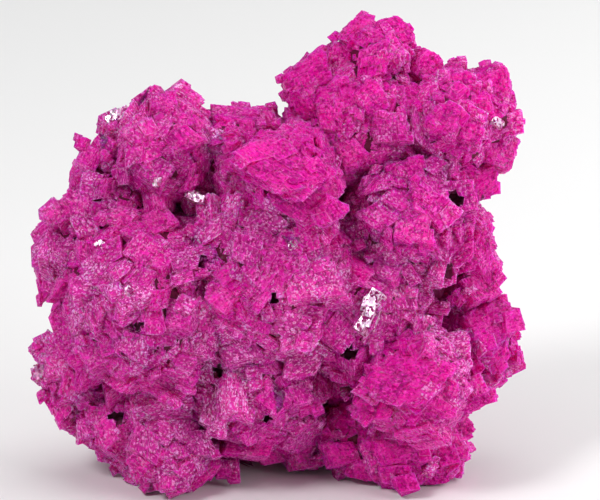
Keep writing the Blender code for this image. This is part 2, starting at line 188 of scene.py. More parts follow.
def flake_planes(corner, ways):
    """A flake is what lies outside all three of its broken faces."""
    return [(Vector(corner), -direction(around, lift)) for around, lift in ways]


def depth_in_back(point):
    """How deep a point lies inside the block behind."""
    return min((start - point).dot(outward) for start, outward in back_planes())


# The places of the crystals
#
# Dolomite grows as rhombs. The ones that can be told apart in front are placed one by one, and the rest
# are grown at random with the part's own seeds, so each stands where the part has it.

RHOMB_ANGLE = math.radians(101.9)
FRONT_CRYSTALS = {
    "tower": (
        (3.9, 51.7, 4.4, 6.4, -69, -10, 10),
        (10.1, 57.4, 4.6, 3.6, -136, 0, 12),
        (14.6, 57.8, 4.4, 4.2, 20, 10, 20),
        (18.9, 53.2, 3.4, 4.2, -50, 15, 10),
        (23.2, 51.4, 3.2, 3.2, 5, 0, 20),
        (27.6, 49.4, 7.6, 4.6, -85, 15, 5),
        (28.0, 43.0, 5.0, 4.8, -25, 20, -5),
        (25.6, 38.4, 3.6, 5.0, -75, 25, 0),
        (23.2, 39.4, 5.0, 4.0, 28, 10, -20),
        (16.2, 40.1, 4.6, 3.6, 10, 0, -5),
        (12.4, 38.5, 4.0, 3.4, -30, 0, 15),
        (8.6, 43.1, 3.6, 3.6, 40, -15, 5),
        (12.0, 49.4, 4.2, 3.8, -60, 5, 20),
        (16.7, 50.0, 4.0, 4.0, 15, 10, 25),
        (20.5, 46.9, 4.2, 3.8, 60, -5, 10),
        (24.0, 46.0, 3.6, 4.2, -20, 20, 0),
        (6.7, 46.9, 3.4, 3.4, 0, -20, -5),
        (3.4, 47.9, 3.0, 3.2, 15, -30, -20),
    ),
    "saddle ridge": (
        (0.9, 40.9, 7.0, 10.6, -140, 5, 25),
        (3.0, 36.0, 5.0, 7.6, -138, 0, -18),
        (5.6, 38.3, 5.0, 5.6, -142, 12, 8),
    ),
    "upper left": (
        (-4.7, 47.4, 7.6, 3.6, -3, -5, 35),
        (-1.4, 47.3, 3.6, 3.4, 5, 5, 30),
        (-11.3, 49.0, 3.8, 4.4, -140, 5, 15),
        (-15.8, 48.8, 4.2, 3.6, -145, -10, 25),
        (-19.3, 46.4, 3.0, 2.6, 10, -10, 30),
        (-17.0, 45.6, 4.0, 3.4, 40, -20, 10),
        (-7.6, 44.4, 3.8, 3.2, -20, 0, 15),
        (-11.4, 44.4, 4.2, 3.6, 30, -5, 10),
        (-21.6, 43.1, 4.0, 3.4, 55, -30, 5),
        (-13.3, 35.9, 4.0, 4.0, -5, 5, 5),
        (-9.5, 37.4, 3.4, 2.0, 20, 5, 30),
        (-19.3, 35.1, 3.0, 4.4, 60, -10, 15),
        (-14.5, 40.6, 4.4, 3.6, -35, -5, 10),
        (-24.6, 37.2, 3.4, 3.0, 35, -35, 10),
        (-23.3, 33.8, 3.6, 3.4, 15, -20, 5),
        (-26.4, 35.6, 3.6, 3.4, 40, -30, 5),
        (-5.5, 35.3, 2.6, 5.4, -15, -25, 15),
        (-7.0, 35.3, 2.2, 5.0, -10, 30, 5),
        (-8.9, 32.9, 3.0, 3.0, 45, 0, -10),
    ),
    "left": (
        (-28.3, 32.2, 3.8, 4.2, -70, -40, 0),
        (-28.7, 26.6, 3.4, 3.8, -60, -40, -5),
        (-23.0, 26.6, 4.6, 3.0, 12, -15, 20),
        (-17.8, 25.6, 3.8, 3.2, 25, 0, 25),
        (-15.8, 30.6, 4.4, 4.2, -40, 5, 0),
        (-11.8, 22.9, 4.2, 3.8, 75, -10, 8),
        (-9.1, 23.6, 2.6, 2.4, -50, 5, 10),
        (-28.3, 18.3, 4.4, 4.8, 40, -25, 10),
        (-26.9, 16.5, 3.2, 2.8, -5, -5, 25),
        (-28.4, 15.6, 2.4, 2.2, 60, -15, 20),
        (-26.8, 12.1, 4.8, 4.4, -55, -15, 0),
        (-22.0, 18.1, 4.0, 3.6, 30, 0, 5),
    ),
    "lower left": (
        (-14.1, 13.4, 8.0, 4.0, 10, 0, 25),
        (-17.0, 18.8, 4.0, 4.0, -20, 0, -25),
        (-7.4, 11.1, 3.8, 4.8, -30, -15, 5),
        (-4.4, 13.4, 2.8, 6.0, -12, 15, 5),
        (-3.3, 8.8, 3.4, 4.0, -50, 5, -10),
        (-0.1, 12.6, 3.6, 4.2, 40, 10, 5),
        (2.6, 13.4, 3.8, 4.0, 20, 10, 15),
        (-9.5, 6.9, 4.0, 3.8, 10, 0, 0),
        (-15.8, 6.9, 4.4, 3.8, -30, -10, -5),
        (-20.8, 8.3, 4.0, 3.6, -60, -20, -10),
        (-16.4, 4.8, 3.6, 3.2, 35, -10, -10),
        (-12.6, 2.8, 4.2, 3.4, 5, 0, -15),
        (-15.2, 1.9, 3.6, 3.0, 12, -5, -20),
        (-5.9, 3.6, 2.8, 2.4, -8, 0, -10),
        (3.4, 4.6, 4.0, 2.8, 8, 0, -15),
        (-0.8, 5.0, 3.0, 2.8, 20, 0, -20),
        (-23.5, 12.5, 3.6, 3.4, 15, -5, -10),
    ),
    "centre": (
        (4.5, 27.5, 7.2, 5.4, 10, 0, 10),
        (2.6, 20.9, 4.4, 4.6, -80, -5, 20),
        (8.0, 20.6, 4.4, 4.0, -40, 10, 0),
        (-4.5, 18.8, 5.0, 3.8, 20, -5, 5),
        (-6.4, 25.6, 4.6, 4.0, 50, -5, 15),
        (-3.3, 30.6, 4.0, 4.0, -15, -10, -15),
        (-0.8, 33.8, 4.4, 3.4, 30, 0, -25),
        (1.8, 32.1, 3.0, 3.0, -30, 10, 30),
        (8.6, 32.5, 4.2, 4.0, 15, -10, 5),
        (11.8, 23.8, 2.6, 5.0, -30, 5, 20),
        (15.8, 25.3, 3.4, 3.8, -5, 5, 10),
        (20.1, 29.1, 2.4, 4.0, -25, 0, 15),
        (16.8, 33.8, 4.6, 4.2, -10, 0, 15),
        (12.8, 35.0, 4.0, 3.8, 35, -5, 20),
        (19.3, 36.3, 5.0, 3.8, -35, 10, 15),
        (13.6, 28.8, 4.0, 4.0, 60, 0, 0),
        (18.0, 20.6, 2.4, 4.6, -20, 20, 5),
    ),
    "right": (
        (24.5, 31.3, 5.2, 5.2, -65, 20, 5),
        (25.9, 33.6, 3.4, 3.2, -30, 35, 5),
        (27.0, 28.2, 3.6, 3.4, -45, 35, 0),
        (27.3, 21.3, 5.6, 7.4, -80, 25, 12),
        (23.6, 17.5, 4.0, 4.4, -50, 5, 20),
        (24.4, 12.4, 4.4, 4.0, 30, 25, -15),
        (22.9, 9.0, 3.8, 3.6, 20, 25, -10),
        (27.5, 15.6, 3.4, 3.0, 25, 30, -5),
        (21.8, 24.4, 4.4, 4.6, -70, 0, 0),
        (27.6, 17.6, 3.6, 4.2, -60, 30, 0),
    ),
    "lower right": (
        (16.1, 15.0, 8.0, 9.0, -125, 0, 15),
        (12.4, 11.9, 5.0, 5.0, -110, -25, 5),
        (20.5, 13.4, 5.0, 5.0, -20, 15, 5),
        (15.5, 6.0, 6.0, 3.6, 8, 0, -5),
        (21.1, 6.0, 4.6, 3.8, 20, 15, -5),
        (11.1, 7.2, 4.2, 4.0, -15, -15, -5),
        (14.9, 2.8, 4.4, 3.0, 5, 0, -20),
        (19.8, 2.6, 4.0, 2.8, 8, 5, -20),
        (11.2, 3.2, 3.4, 3.0, -10, -5, -20),
        (8.0, 11.9, 3.6, 3.6, 0, -30, -15),
        (8.6, 5.6, 3.8, 3.2, 12, 5, -15),
    ),
}

# Their faces stand this far out of the lumps, are turned at random by up to this many degrees, and their
# third edge is this share of the other two.
FACE_RISE = 1.3
FACE_WOBBLE = 9.0
DEPTH_SHARE = 0.8

# Crystals that fill the rest: sides, top, underside and the rim behind. Large ones come first. Each is
# tried at random on a lump, and kept where it has room. Neighbours share a direction of growth, apart
# from strays.
FILL_SEED = 41
FILL_TRIES = 130
FILL_SIZES = (5.4, 3.8)
FILL_SPREAD = 0.25
FILL_CROWDING = 0.95
FILL_SINK = 0.12
FAMILY_COUNT = 34
FAMILY_REACH = ((-31.0, 31.0), (-16.0, 16.0), (0.0, 58.0))
FAMILY_WOBBLE = 16.0
STRAY_SHARE = 0.3
BURIED = 0.2
BACK_OVERGROWTH = 0.5
LOWEST_FILL = 0.5

def rhomb_edges():
    """Edge directions of the rhomb: the first two lie in its front face, and the third runs back."""
    cosine, sine = math.cos(RHOMB_ANGLE), math.sin(RHOMB_ANGLE)
    sideways = (cosine - cosine * cosine) / sine
    back = -math.sqrt(1 - cosine * cosine - sideways * sideways)
    return Vector((1, 0, 0)), Vector((cosine, sine, 0)), Vector((cosine, sideways, back))


EDGES = rhomb_edges()


def turned(spin, turn, tip):
    """Rotation of a rhomb whose front face looks at the viewer, then turned right and tipped up."""
    view = Matrix((RIGHT, UP, TO_VIEWER)).transposed()
    return (
        view
        @ Matrix.Rotation(math.radians(turn), 3, "Y")
        @ Matrix.Rotation(math.radians(-tip), 3, "X")
        @ Matrix.Rotation(math.radians(spin), 3, "Z")
    )


def front_crystals():
    """The crystals placed one by one, as (centre, rotation, edge lengths)."""
    chance = random.Random(FILL_SEED)
    found = []
    for group in FRONT_CRYSTALS.values():
        for across, up, first, second, spin, turn, tip in group:
            tilts = [chance.uniform(-FACE_WOBBLE, FACE_WOBBLE) for _ in range(2)]
            rotation = turned(spin, turn + tilts[0], tip + tilts[1])
            third = DEPTH_SHARE * (first + second) / 2
            face = seen_at(across, up) + TO_VIEWER * FACE_RISE
            found.append((face + rotation @ EDGES[2] * (third / 2), rotation, (first, second, third)))
    return found


def random_rotation(chance, degrees=180.0):
    """A rotation of up to that many degrees about a random axis."""
    axis = Vector([chance.gauss(0, 1) for _ in range(3)]).normalized()
    return Matrix.Rotation(math.radians(chance.uniform(-degrees, degrees)), 3, axis)


def fill_crystals(taken):
    """Crystals on what is left of the lumps, in families that share a direction of growth."""
    chance = random.Random(FILL_SEED + 1)
    families = []
    for _ in range(FAMILY_COUNT):
        place = Vector([chance.uniform(low, high) for low, high in FAMILY_REACH])
        families.append((place, random_rotation(chance)))
    found = list(taken)
    for size_mean in FILL_SIZES:
        for centre, radius in BALLS:
            for _ in range(FILL_TRIES):
                out = Vector([chance.gauss(0, 1) for _ in range(3)]).normalized()
                lengths = [size_mean * chance.uniform(1 - FILL_SPREAD, 1 + FILL_SPREAD) for _ in range(3)]
                spin = random_rotation(chance, FAMILY_WOBBLE)
                stray = random_rotation(chance) if chance.random() < STRAY_SHARE else None
                place = centre + out * radius
                if distance_out(place) < -BURIED or depth_in_back(place) > BACK_OVERGROWTH:
                    continue
                if place.z < LOWEST_FILL:
                    continue
                place -= out * (FILL_SINK * size_mean)
                room = [
                    (place - other).length - FILL_CROWDING * (sum(lengths) + sum(sizes)) / 6
                    for other, _, sizes in found
                ]
                if min(room) < 0:
                    continue
                kin = min(families, key=lambda family: (family[0] - place).length)
                found.append((place, stray or spin @ kin[1], tuple(lengths)))
    return found[len(taken):]


# One stepped crystal
#
# No dolomite face is a mirror: each crystal is a pile of smaller blocks in nearly the same direction, so
# that its faces are terraces, its edges saw-toothed and the whole bent like a saddle.

BLOCK_SIDES = ((0, 1, 3, 2), (4, 6, 7, 5), (0, 4, 5, 1), (2, 3, 7, 6), (0, 2, 6, 4), (1, 5, 7, 3))
STEP_RISE = 0.018
BLOCK_TWIST = 2.6
UNION_BATCH = 24


def block(name, centre, size, rotation, facet):
    """One closed block, with its faces laid out flat in the lattice map."""
    corners = []
    for number in range(8):
        corner = Vector([((number >> (2 - k)) & 1) - 0.5 for k in range(3)])
        corners.append(centre + rotation @ Vector([corner[k] * size[k] for k in range(3)]))
    mesh = bpy.data.meshes.new(name)
    mesh.from_pydata(corners, [], BLOCK_SIDES)
    lattice = mesh.uv_layers.new(name="lattice")
    border = mesh.uv_layers.new(name="border")
    for face in mesh.polygons:
        axis = face.index // 2
        for corner in face.loop_indices:
            number = mesh.loops[corner].vertex_index
            place = mesh.vertices[number].co
            lattice.data[corner].uv = (place[(axis + 1) % 3] + 3 * axis, place[(axis + 2) % 3])
            border.data[corner].uv = [(number >> (2 - (axis + k) % 3)) & 1 for k in (1, 2)]
    values = mesh.attributes.new("facet", "FLOAT", "FACE")
    values.data.foreach_set("value", [facet] * 6)
    made = bpy.data.objects.new(name, mesh)
    bpy.context.scene.collection.objects.link(made)
    return made


def grown_together(base, others, operation="UNION"):
    """Unites closed forms with the base into one closed skin, some at a time, and removes them."""
    for start in range(0, len(others), UNION_BATCH):
        batch = others[start:start + UNION_BATCH]
        for other in batch:
            step = base.modifiers.new("grow", "BOOLEAN")
            step.operation = operation
            step.solver = "MANIFOLD"
            step.material_mode = "TRANSFER"
            step.object = other
        bake(base)
        for other in batch:
            bpy.data.objects.remove(other)
    return base


def bake(target):
    """Makes the modifiers' result the object's own mesh."""
    bpy.context.view_layer.update()
    old = target.data
    graph = bpy.context.evaluated_depsgraph_get()
    target.data = bpy.data.meshes.new_from_object(target.evaluated_get(graph))
    target.modifiers.clear()
    if old.users == 0:
        bpy.data.meshes.remove(old)


def stepped_form(name, blocks, reach, seed, rise_by, twist_by, stretch=1.0, heart_size=0.94):
    """A cube's worth of blocks that lie almost flush with its sides."""
    chance = random.Random(seed)
    heart = block(name, Vector(), Vector((heart_size,) * 3), Matrix.Identity(3), 0.5)
    grown = []
    for number in range(blocks):
        axis, side = number % 3, 1 if number % 2 else -1
        size = Vector([min(0.85, reach * math.exp(chance.gauss(0, 0.45))) for _ in range(3)])
        size[(axis + 1) % 3] = min(0.9, size[(axis + 1) % 3] * stretch)
        centre = Vector([chance.uniform(size[k] / 2 - 0.53, 0.53 - size[k] / 2) for k in range(3)])
        rise = rise_by * chance.uniform(-0.8, 2.0)
        centre[axis] = side * (0.48 + rise - size[axis] / 2)
        twist = Vector([math.radians(chance.gauss(0, twist_by)) for _ in range(3)])
        rotation = Matrix.Rotation(twist.length, 3, twist.normalized())
        grown.append(block(f"{name}_{number}", centre, size, rotation, chance.random()))
    return grown_together(heart, grown)


FORMS = {
    "broad": [stepped_form(f"broad_{n}", 30, 0.36, 100 + n, 0.014, 3.5) for n in range(4)],
    "stepped": [stepped_form(f"stepped_{n}", 44, 0.27, 200 + n, 0.018, 5, 1.3) for n in range(4)],
    "sugary": [stepped_form(f"sugary_{n}", 90, 0.15, 300 + n, 0.016, 8, 1.8) for n in range(3)],
    "young": [stepped_form(f"young_{n}", 4, 0.55, 400 + n, 0.04, 6) for n in range(6)],
}
for forms in FORMS.values():
    for form in forms:
        form.hide_render = True
        print(form.name, len(form.data.polygons))


def grown_rhomb(name, crystal, form, saddle, bulge, looks, shift):
    """A stepped form drawn out into a rhomb of this place, direction and size."""
    centre, rotation, lengths = crystal
    mesh = form.data.copy()
    count = len(mesh.vertices)
    places = np.empty(count * 3, np.float32)
    mesh.vertices.foreach_get("co", places)
    p = places.reshape(-1, 3).astype(float)
    p = p * (0.89 * (1 + bulge * (0.5 - (p * p).sum(1))))[:, None]
    u, v, w = p.T
    p = np.stack([u + saddle[0] * v * w, v + saddle[1] * w * u, w + saddle[2] * u * v], 1)
    front = (EDGES[0], EDGES[1], -EDGES[2])
    draw = np.array([rotation @ (front[k] * lengths[k]) for k in range(3)])
    p = (p @ draw + np.array(centre + CENTRED)) * MM
    mesh.vertices.foreach_set("co", p.astype(np.float32).ravel())
    flat = np.empty(len(mesh.loops) * 2, np.float32)
    mesh.uv_layers["lattice"].data.foreach_get("uv", flat)
    flat = flat.reshape(-1, 2) * (sum(lengths) / 3) + shift
    mesh.uv_layers["lattice"].data.foreach_set("uv", flat.astype(np.float32).ravel())
    faces = len(mesh.polygons)
    turn = Matrix([rotation @ edge for edge in front]).transposed().to_3x3()
    euler = rotation.to_euler()
    for key, value in looks.items():
        mesh.attributes.new(key, "FLOAT", "FACE").data.foreach_set("value", [value] * faces)
    mesh.attributes.new("turned", "FLOAT_VECTOR", "FACE").data.foreach_set("vector", list(euler) * faces)
    made = bpy.data.objects.new(name, mesh)
    bpy.context.scene.collection.objects.link(made)
    return made


# Dolomite with cobalt
#
# Hot pink, clear enough for light to glow through its edges; the crystals that glow most are also painted
# a brighter hot pink, a painted glow. Frosted where its faces are etched, its pale speckle partly that frost
# and partly painted sparkle, with painted highlights along the block edges. Where a face throws the lamp
# back it reflects it and is also painted near white, a painted highlight. Between the crystals the ground is
# painted dark, a painted shade.

HOT = (0.82, 0.0004, 0.35)
ROSE = (0.50, 0.0005, 0.25)
# Pale frost colour: partly the etched faces' own, partly painted sparkle; it also paints the highlights along block
# edges.
PALE_FROST_AND_HIGHLIGHT = (0.96, 0.44, 0.84)
# Painted shade for the ground between the crystals and the walls of the holes.
DEEP_PAINTED_SHADE = (0.13, 0.006, 0.04)


def dress(material):
    tree = material.node_tree
    nodes, links = tree.nodes, tree.links
    nodes.clear()
    out = nodes.new("ShaderNodeOutputMaterial")
    surface = nodes.new("ShaderNodeBsdfPrincipled")
    links.new(surface.outputs[0], out.inputs[0])

    def attribute(name):
        made = nodes.new("ShaderNodeAttribute")
        made.attribute_name = name
        return made.outputs["Fac"]

    def math_of(operation, *values, clamp=False):
        made = nodes.new("ShaderNodeMath")
        made.operation = operation
        made.use_clamp = clamp
        for slot, value in zip(made.inputs, values):
            if isinstance(value, (int, float)):
                slot.default_value = value
            else:
                links.new(value, slot)
        return made.outputs[0]

    def vec(operation, *values, scale=None):
        made = nodes.new("ShaderNodeVectorMath")
        made.operation = operation
        for slot, value in zip(made.inputs, values):
            if isinstance(value, tuple):
                slot.default_value = value
            else:
                links.new(value, slot)
        if scale is not None:
            made.inputs["Scale"].default_value = scale
        return made.outputs["Value"] if operation == "DOT_PRODUCT" else made.outputs["Vector"]

    def mixed(share, first, second):
        made = nodes.new("ShaderNodeMix")
        made.data_type = "RGBA"
        for socket, value in (("Factor", share), ("A", first), ("B", second)):
            slot = next(s for s in made.inputs if s.name == socket and s.enabled)
            if isinstance(value, tuple):
                slot.default_value = (*value, 1.0)
            elif isinstance(value, (int, float)):
                slot.default_value = value
            else:
                links.new(value, slot)
        return next(s for s in made.outputs if s.enabled)

    def ramped(value, low, high):
        made = nodes.new("ShaderNodeMapRange")
        made.clamp = True
        links.new(value, made.inputs["Value"])
        made.inputs["From Min"].default_value = low
        made.inputs["From Max"].default_value = high
        return made.outputs[0]

    lattice = nodes.new("ShaderNodeUVMap")
    lattice.uv_map = "lattice"
    uv = lattice.outputs["UV"]

    def cells(wide, tall, jitter):
        """Random value and a relief for each small lozenge of the lattice."""
        moved = vec("MULTIPLY", uv, (1 / wide, 1 / tall, 0.0))
        wave = nodes.new("ShaderNodeTexNoise")
        wave.inputs["Scale"].default_value = 2.2
        wave.inputs["Detail"].default_value = 2.0
        links.new(uv, wave.inputs["Vector"])
        pushed = vec("SCALE", vec("SUBTRACT", wave.outputs["Color"], (0.5, 0.5, 0.5)), scale=jitter / min(wide, tall))
        moved = vec("ADD", moved, pushed)
        whole = vec("FLOOR", moved)
        inside = vec("SUBTRACT", moved, whole)
        chance = nodes.new("ShaderNodeTexWhiteNoise")
        chance.noise_dimensions = "2D"
        links.new(whole, chance.inputs["Vector"])
        slope = vec("SUBTRACT", chance.outputs["Color"], (0.5, 0.5, 0.5))
        tilt = vec("DOT_PRODUCT", slope, inside)
        height = math_of("ADD", math_of("MULTIPLY", chance.outputs["Value"], 0.6), tilt)
        return chance.outputs["Value"], height

    crystal, facet, frost_and_sparkle, deep, massive = [attribute(n) for n in ("crystal", "facet", "frost_and_sparkle", "deep", "massive")]
    glint = attribute("glint")
    coarse_value, coarse_height = cells(0.42, 0.55, 0.5)
    fine_value, fine_height = cells(0.20, 0.34, 0.3)

    place = nodes.new("ShaderNodeTexCoord")
    cloud = nodes.new("ShaderNodeTexNoise")
    cloud.inputs["Scale"].default_value = 170.0
    cloud.inputs["Detail"].default_value = 3.0
    links.new(place.outputs["Object"], cloud.inputs["Vector"])

    colour = mixed(ramped(math_of("ADD", crystal, cloud.outputs["Fac"]), 0.5, 1.5), HOT, ROSE)
    # frost by face and by cell: partly the etched faces' own frost, partly painted sparkle standing in for tiny
    # reflections
    face_frost_and_sparkle = math_of("MULTIPLY", frost_and_sparkle, math_of("MULTIPLY_ADD", facet, 0.7, 0.5), clamp=True)
    grains = nodes.new("ShaderNodeTexVoronoi")
    grains.inputs["Scale"].default_value = 3300.0
    links.new(place.outputs["Object"], grains.inputs["Vector"])
    grain_chance = nodes.new("ShaderNodeSeparateColor")
    links.new(grains.outputs["Color"], grain_chance.inputs[0])
    patches = nodes.new("ShaderNodeTexNoise")
    patches.inputs["Scale"].default_value = 330.0
    patches.inputs["Detail"].default_value = 2.0
    links.new(place.outputs["Object"], patches.inputs["Vector"])
    patch = ramped(patches.outputs["Fac"], 0.40, 0.60)
    spot = math_of("MULTIPLY", ramped(grain_chance.outputs[0], 0.70, 0.90), ramped(grains.outputs["Distance"], 0.62, 0.40))
    strokes = nodes.new("ShaderNodeTexVoronoi")
    strokes.voronoi_dimensions = "2D"
    strokes.inputs["Scale"].default_value = 1.0
    wander = nodes.new("ShaderNodeTexNoise")
    wander.inputs["Scale"].default_value = 2.6
    wander.inputs["Detail"].default_value = 2.0
    links.new(uv, wander.inputs["Vector"])
    stray = vec("SCALE", vec("SUBTRACT", wander.outputs["Color"], (0.5, 0.5, 0.5)), scale=2.4)
    links.new(vec("ADD", vec("MULTIPLY", uv, (1 / 0.20, 1 / 0.34, 0.0)), stray), strokes.inputs["Vector"])
    stroke_chance = nodes.new("ShaderNodeSeparateColor")
    links.new(strokes.outputs["Color"], stroke_chance.inputs[0])
    stroke = math_of("MULTIPLY", ramped(stroke_chance.outputs[0], 0.58, 0.92), ramped(strokes.outputs["Distance"], 0.66, 0.34))
    speckle = math_of("MAXIMUM", math_of("MULTIPLY", spot, patch), stroke)
    # The pale speckle: partly frost, partly painted sparkle where tiny facets would throw the light back.
    frost_and_sparkle_speckle = math_of("MULTIPLY", speckle, math_of("ADD", math_of("MULTIPLY_ADD", face_frost_and_sparkle, 1.35, 0.07), math_of("MULTIPLY", math_of("MULTIPLY", patch, ramped(frost_and_sparkle, 0.03, 0.14)), 0.20)), clamp=True)
    border_map = nodes.new("ShaderNodeUVMap")
    border_map.uv_map = "border"
    off = vec("ABSOLUTE", vec("SUBTRACT", border_map.outputs["UV"], (0.5, 0.5, 0.0)))
    parts = nodes.new("ShaderNodeSeparateXYZ")
    links.new(off, parts.inputs[0])
    # A thin pale line along the edges of each block's faces: a painted highlight, as light catching the crystal
    # edges.
    rim = ramped(math_of("MAXIMUM", parts.outputs[0], parts.outputs[1]), 0.44, 0.49)
    rim = math_of("MULTIPLY", rim, math_of("MULTIPLY", math_of("MULTIPLY", facet, facet), 0.30))
    share = math_of("ADD", math_of("MULTIPLY", face_frost_and_sparkle, 0.10), frost_and_sparkle_speckle, clamp=True)
    share = math_of("ADD", share, rim, clamp=True)
    # Blocks with a low facet value are darkened toward deep magenta: painted shade, as of faces turned from the
    # light, given at random by block.
    colour = mixed(math_of("MULTIPLY", ramped(facet, 0.62, 0.05), 0.72), colour, (0.36, 0.0003, 0.18))
    light = math_of("MULTIPLY", ramped(math_of("ADD", stroke_chance.outputs[1], grain_chance.outputs[1]), 1.25, 1.7), 0.7)
    colour = mixed(light, colour, (1.0, 0.035, 0.58))
    colour = mixed(share, colour, PALE_FROST_AND_HIGHLIGHT)
    shade = math_of("MULTIPLY", ramped(math_of("ADD", stroke_chance.outputs[1], grain_chance.outputs[1]), 0.70, 0.30), 0.72)
    colour = mixed(shade, colour, (0.24, 0.001, 0.085))
    dull = mixed(ramped(cloud.outputs["Fac"], 0.42, 0.62), (0.66, 0.17, 0.38), (0.36, 0.05, 0.16))
    colour = mixed(math_of("MULTIPLY", massive, 0.72), colour, dull)
    # Deep faces, the ground between the crystals and the hole walls, are painted dark as shade, less dark where
    # marked massive.
    colour = mixed(deep, colour, mixed(massive, DEEP_PAINTED_SHADE, (0.22, 0.04, 0.11)))
    # Bright faces: most cells get a near-white colour and some metal, a painted highlight on top of the real
    # reflection of the lamp; the other cells are painted dark, painted shade between them.
    mirror = math_of("MULTIPLY", glint, ramped(grain_chance.outputs[2], 0.26, 0.36))
    colour = mixed(glint, colour, mixed(mirror, (0.30, 0.01, 0.15), (0.95, 0.72, 0.92)))
    links.new(math_of("MULTIPLY", mirror, 0.7), surface.inputs["Metallic"])
    links.new(colour, surface.inputs["Base Color"])
    rough = math_of("MULTIPLY_ADD", facet, 0.20, 0.12)
    rough = math_of("ADD", rough, math_of("MULTIPLY", fine_value, 0.12))
    links.new(rough, surface.inputs["Roughness"])
    surface.inputs["IOR"].default_value = 1.62
    surface.inputs["Specular IOR Level"].default_value = 0.09
    surface.subsurface_method = "RANDOM_WALK"
    surface.inputs["Subsurface Weight"].default_value = 0.8
    surface.inputs["Subsurface Radius"].default_value = (1.0, 0.15, 0.55)
    surface.inputs["Subsurface Scale"].default_value = 0.0020

    bump = nodes.new("ShaderNodeBump")
    bump.inputs["Strength"].default_value = 1.0
    bump.inputs["Distance"].default_value = 0.00007
    links.new(coarse_height, bump.inputs["Height"])
    fine = nodes.new("ShaderNodeBump")
    fine.inputs["Strength"].default_value = 1.0
    fine.inputs["Distance"].default_value = 0.00004
    links.new(fine_height, fine.inputs["Height"])
    links.new(bump.outputs["Normal"], fine.inputs["Normal"])
    lean = vec("SUBTRACT", vec("ADD", vec("SCALE", grains.outputs["Color"], scale=0.5), vec("SCALE", strokes.outputs["Color"], scale=0.5)), (0.5, 0.5, 0.5))
    amount = nodes.new("ShaderNodeVectorMath")
    amount.operation = "SCALE"
    links.new(lean, amount.inputs[0])
    links.new(math_of("MULTIPLY_ADD", ramped(patches.outputs["Fac"], 0.40, 0.60), 1.1, 0.6), amount.inputs["Scale"])
    tipped = vec("NORMALIZE", vec("ADD", fine.outputs["Normal"], amount.outputs[0]))
    links.new(tipped, surface.inputs["Normal"])


dolomite = bpy.data.materials.new("cobaltoan_dolomite")
dolomite.use_nodes = True
dress(dolomite)

# Young crystals
#
# Smaller rhombs cover the ground between the large crystals, and grow on these, turned nearly as the
# crystal beneath. Each crop stands on what the last one left bare.

def sockets(node, **values):
    for name, value in values.items():
        node.inputs[name.replace("_", " ")].default_value = value


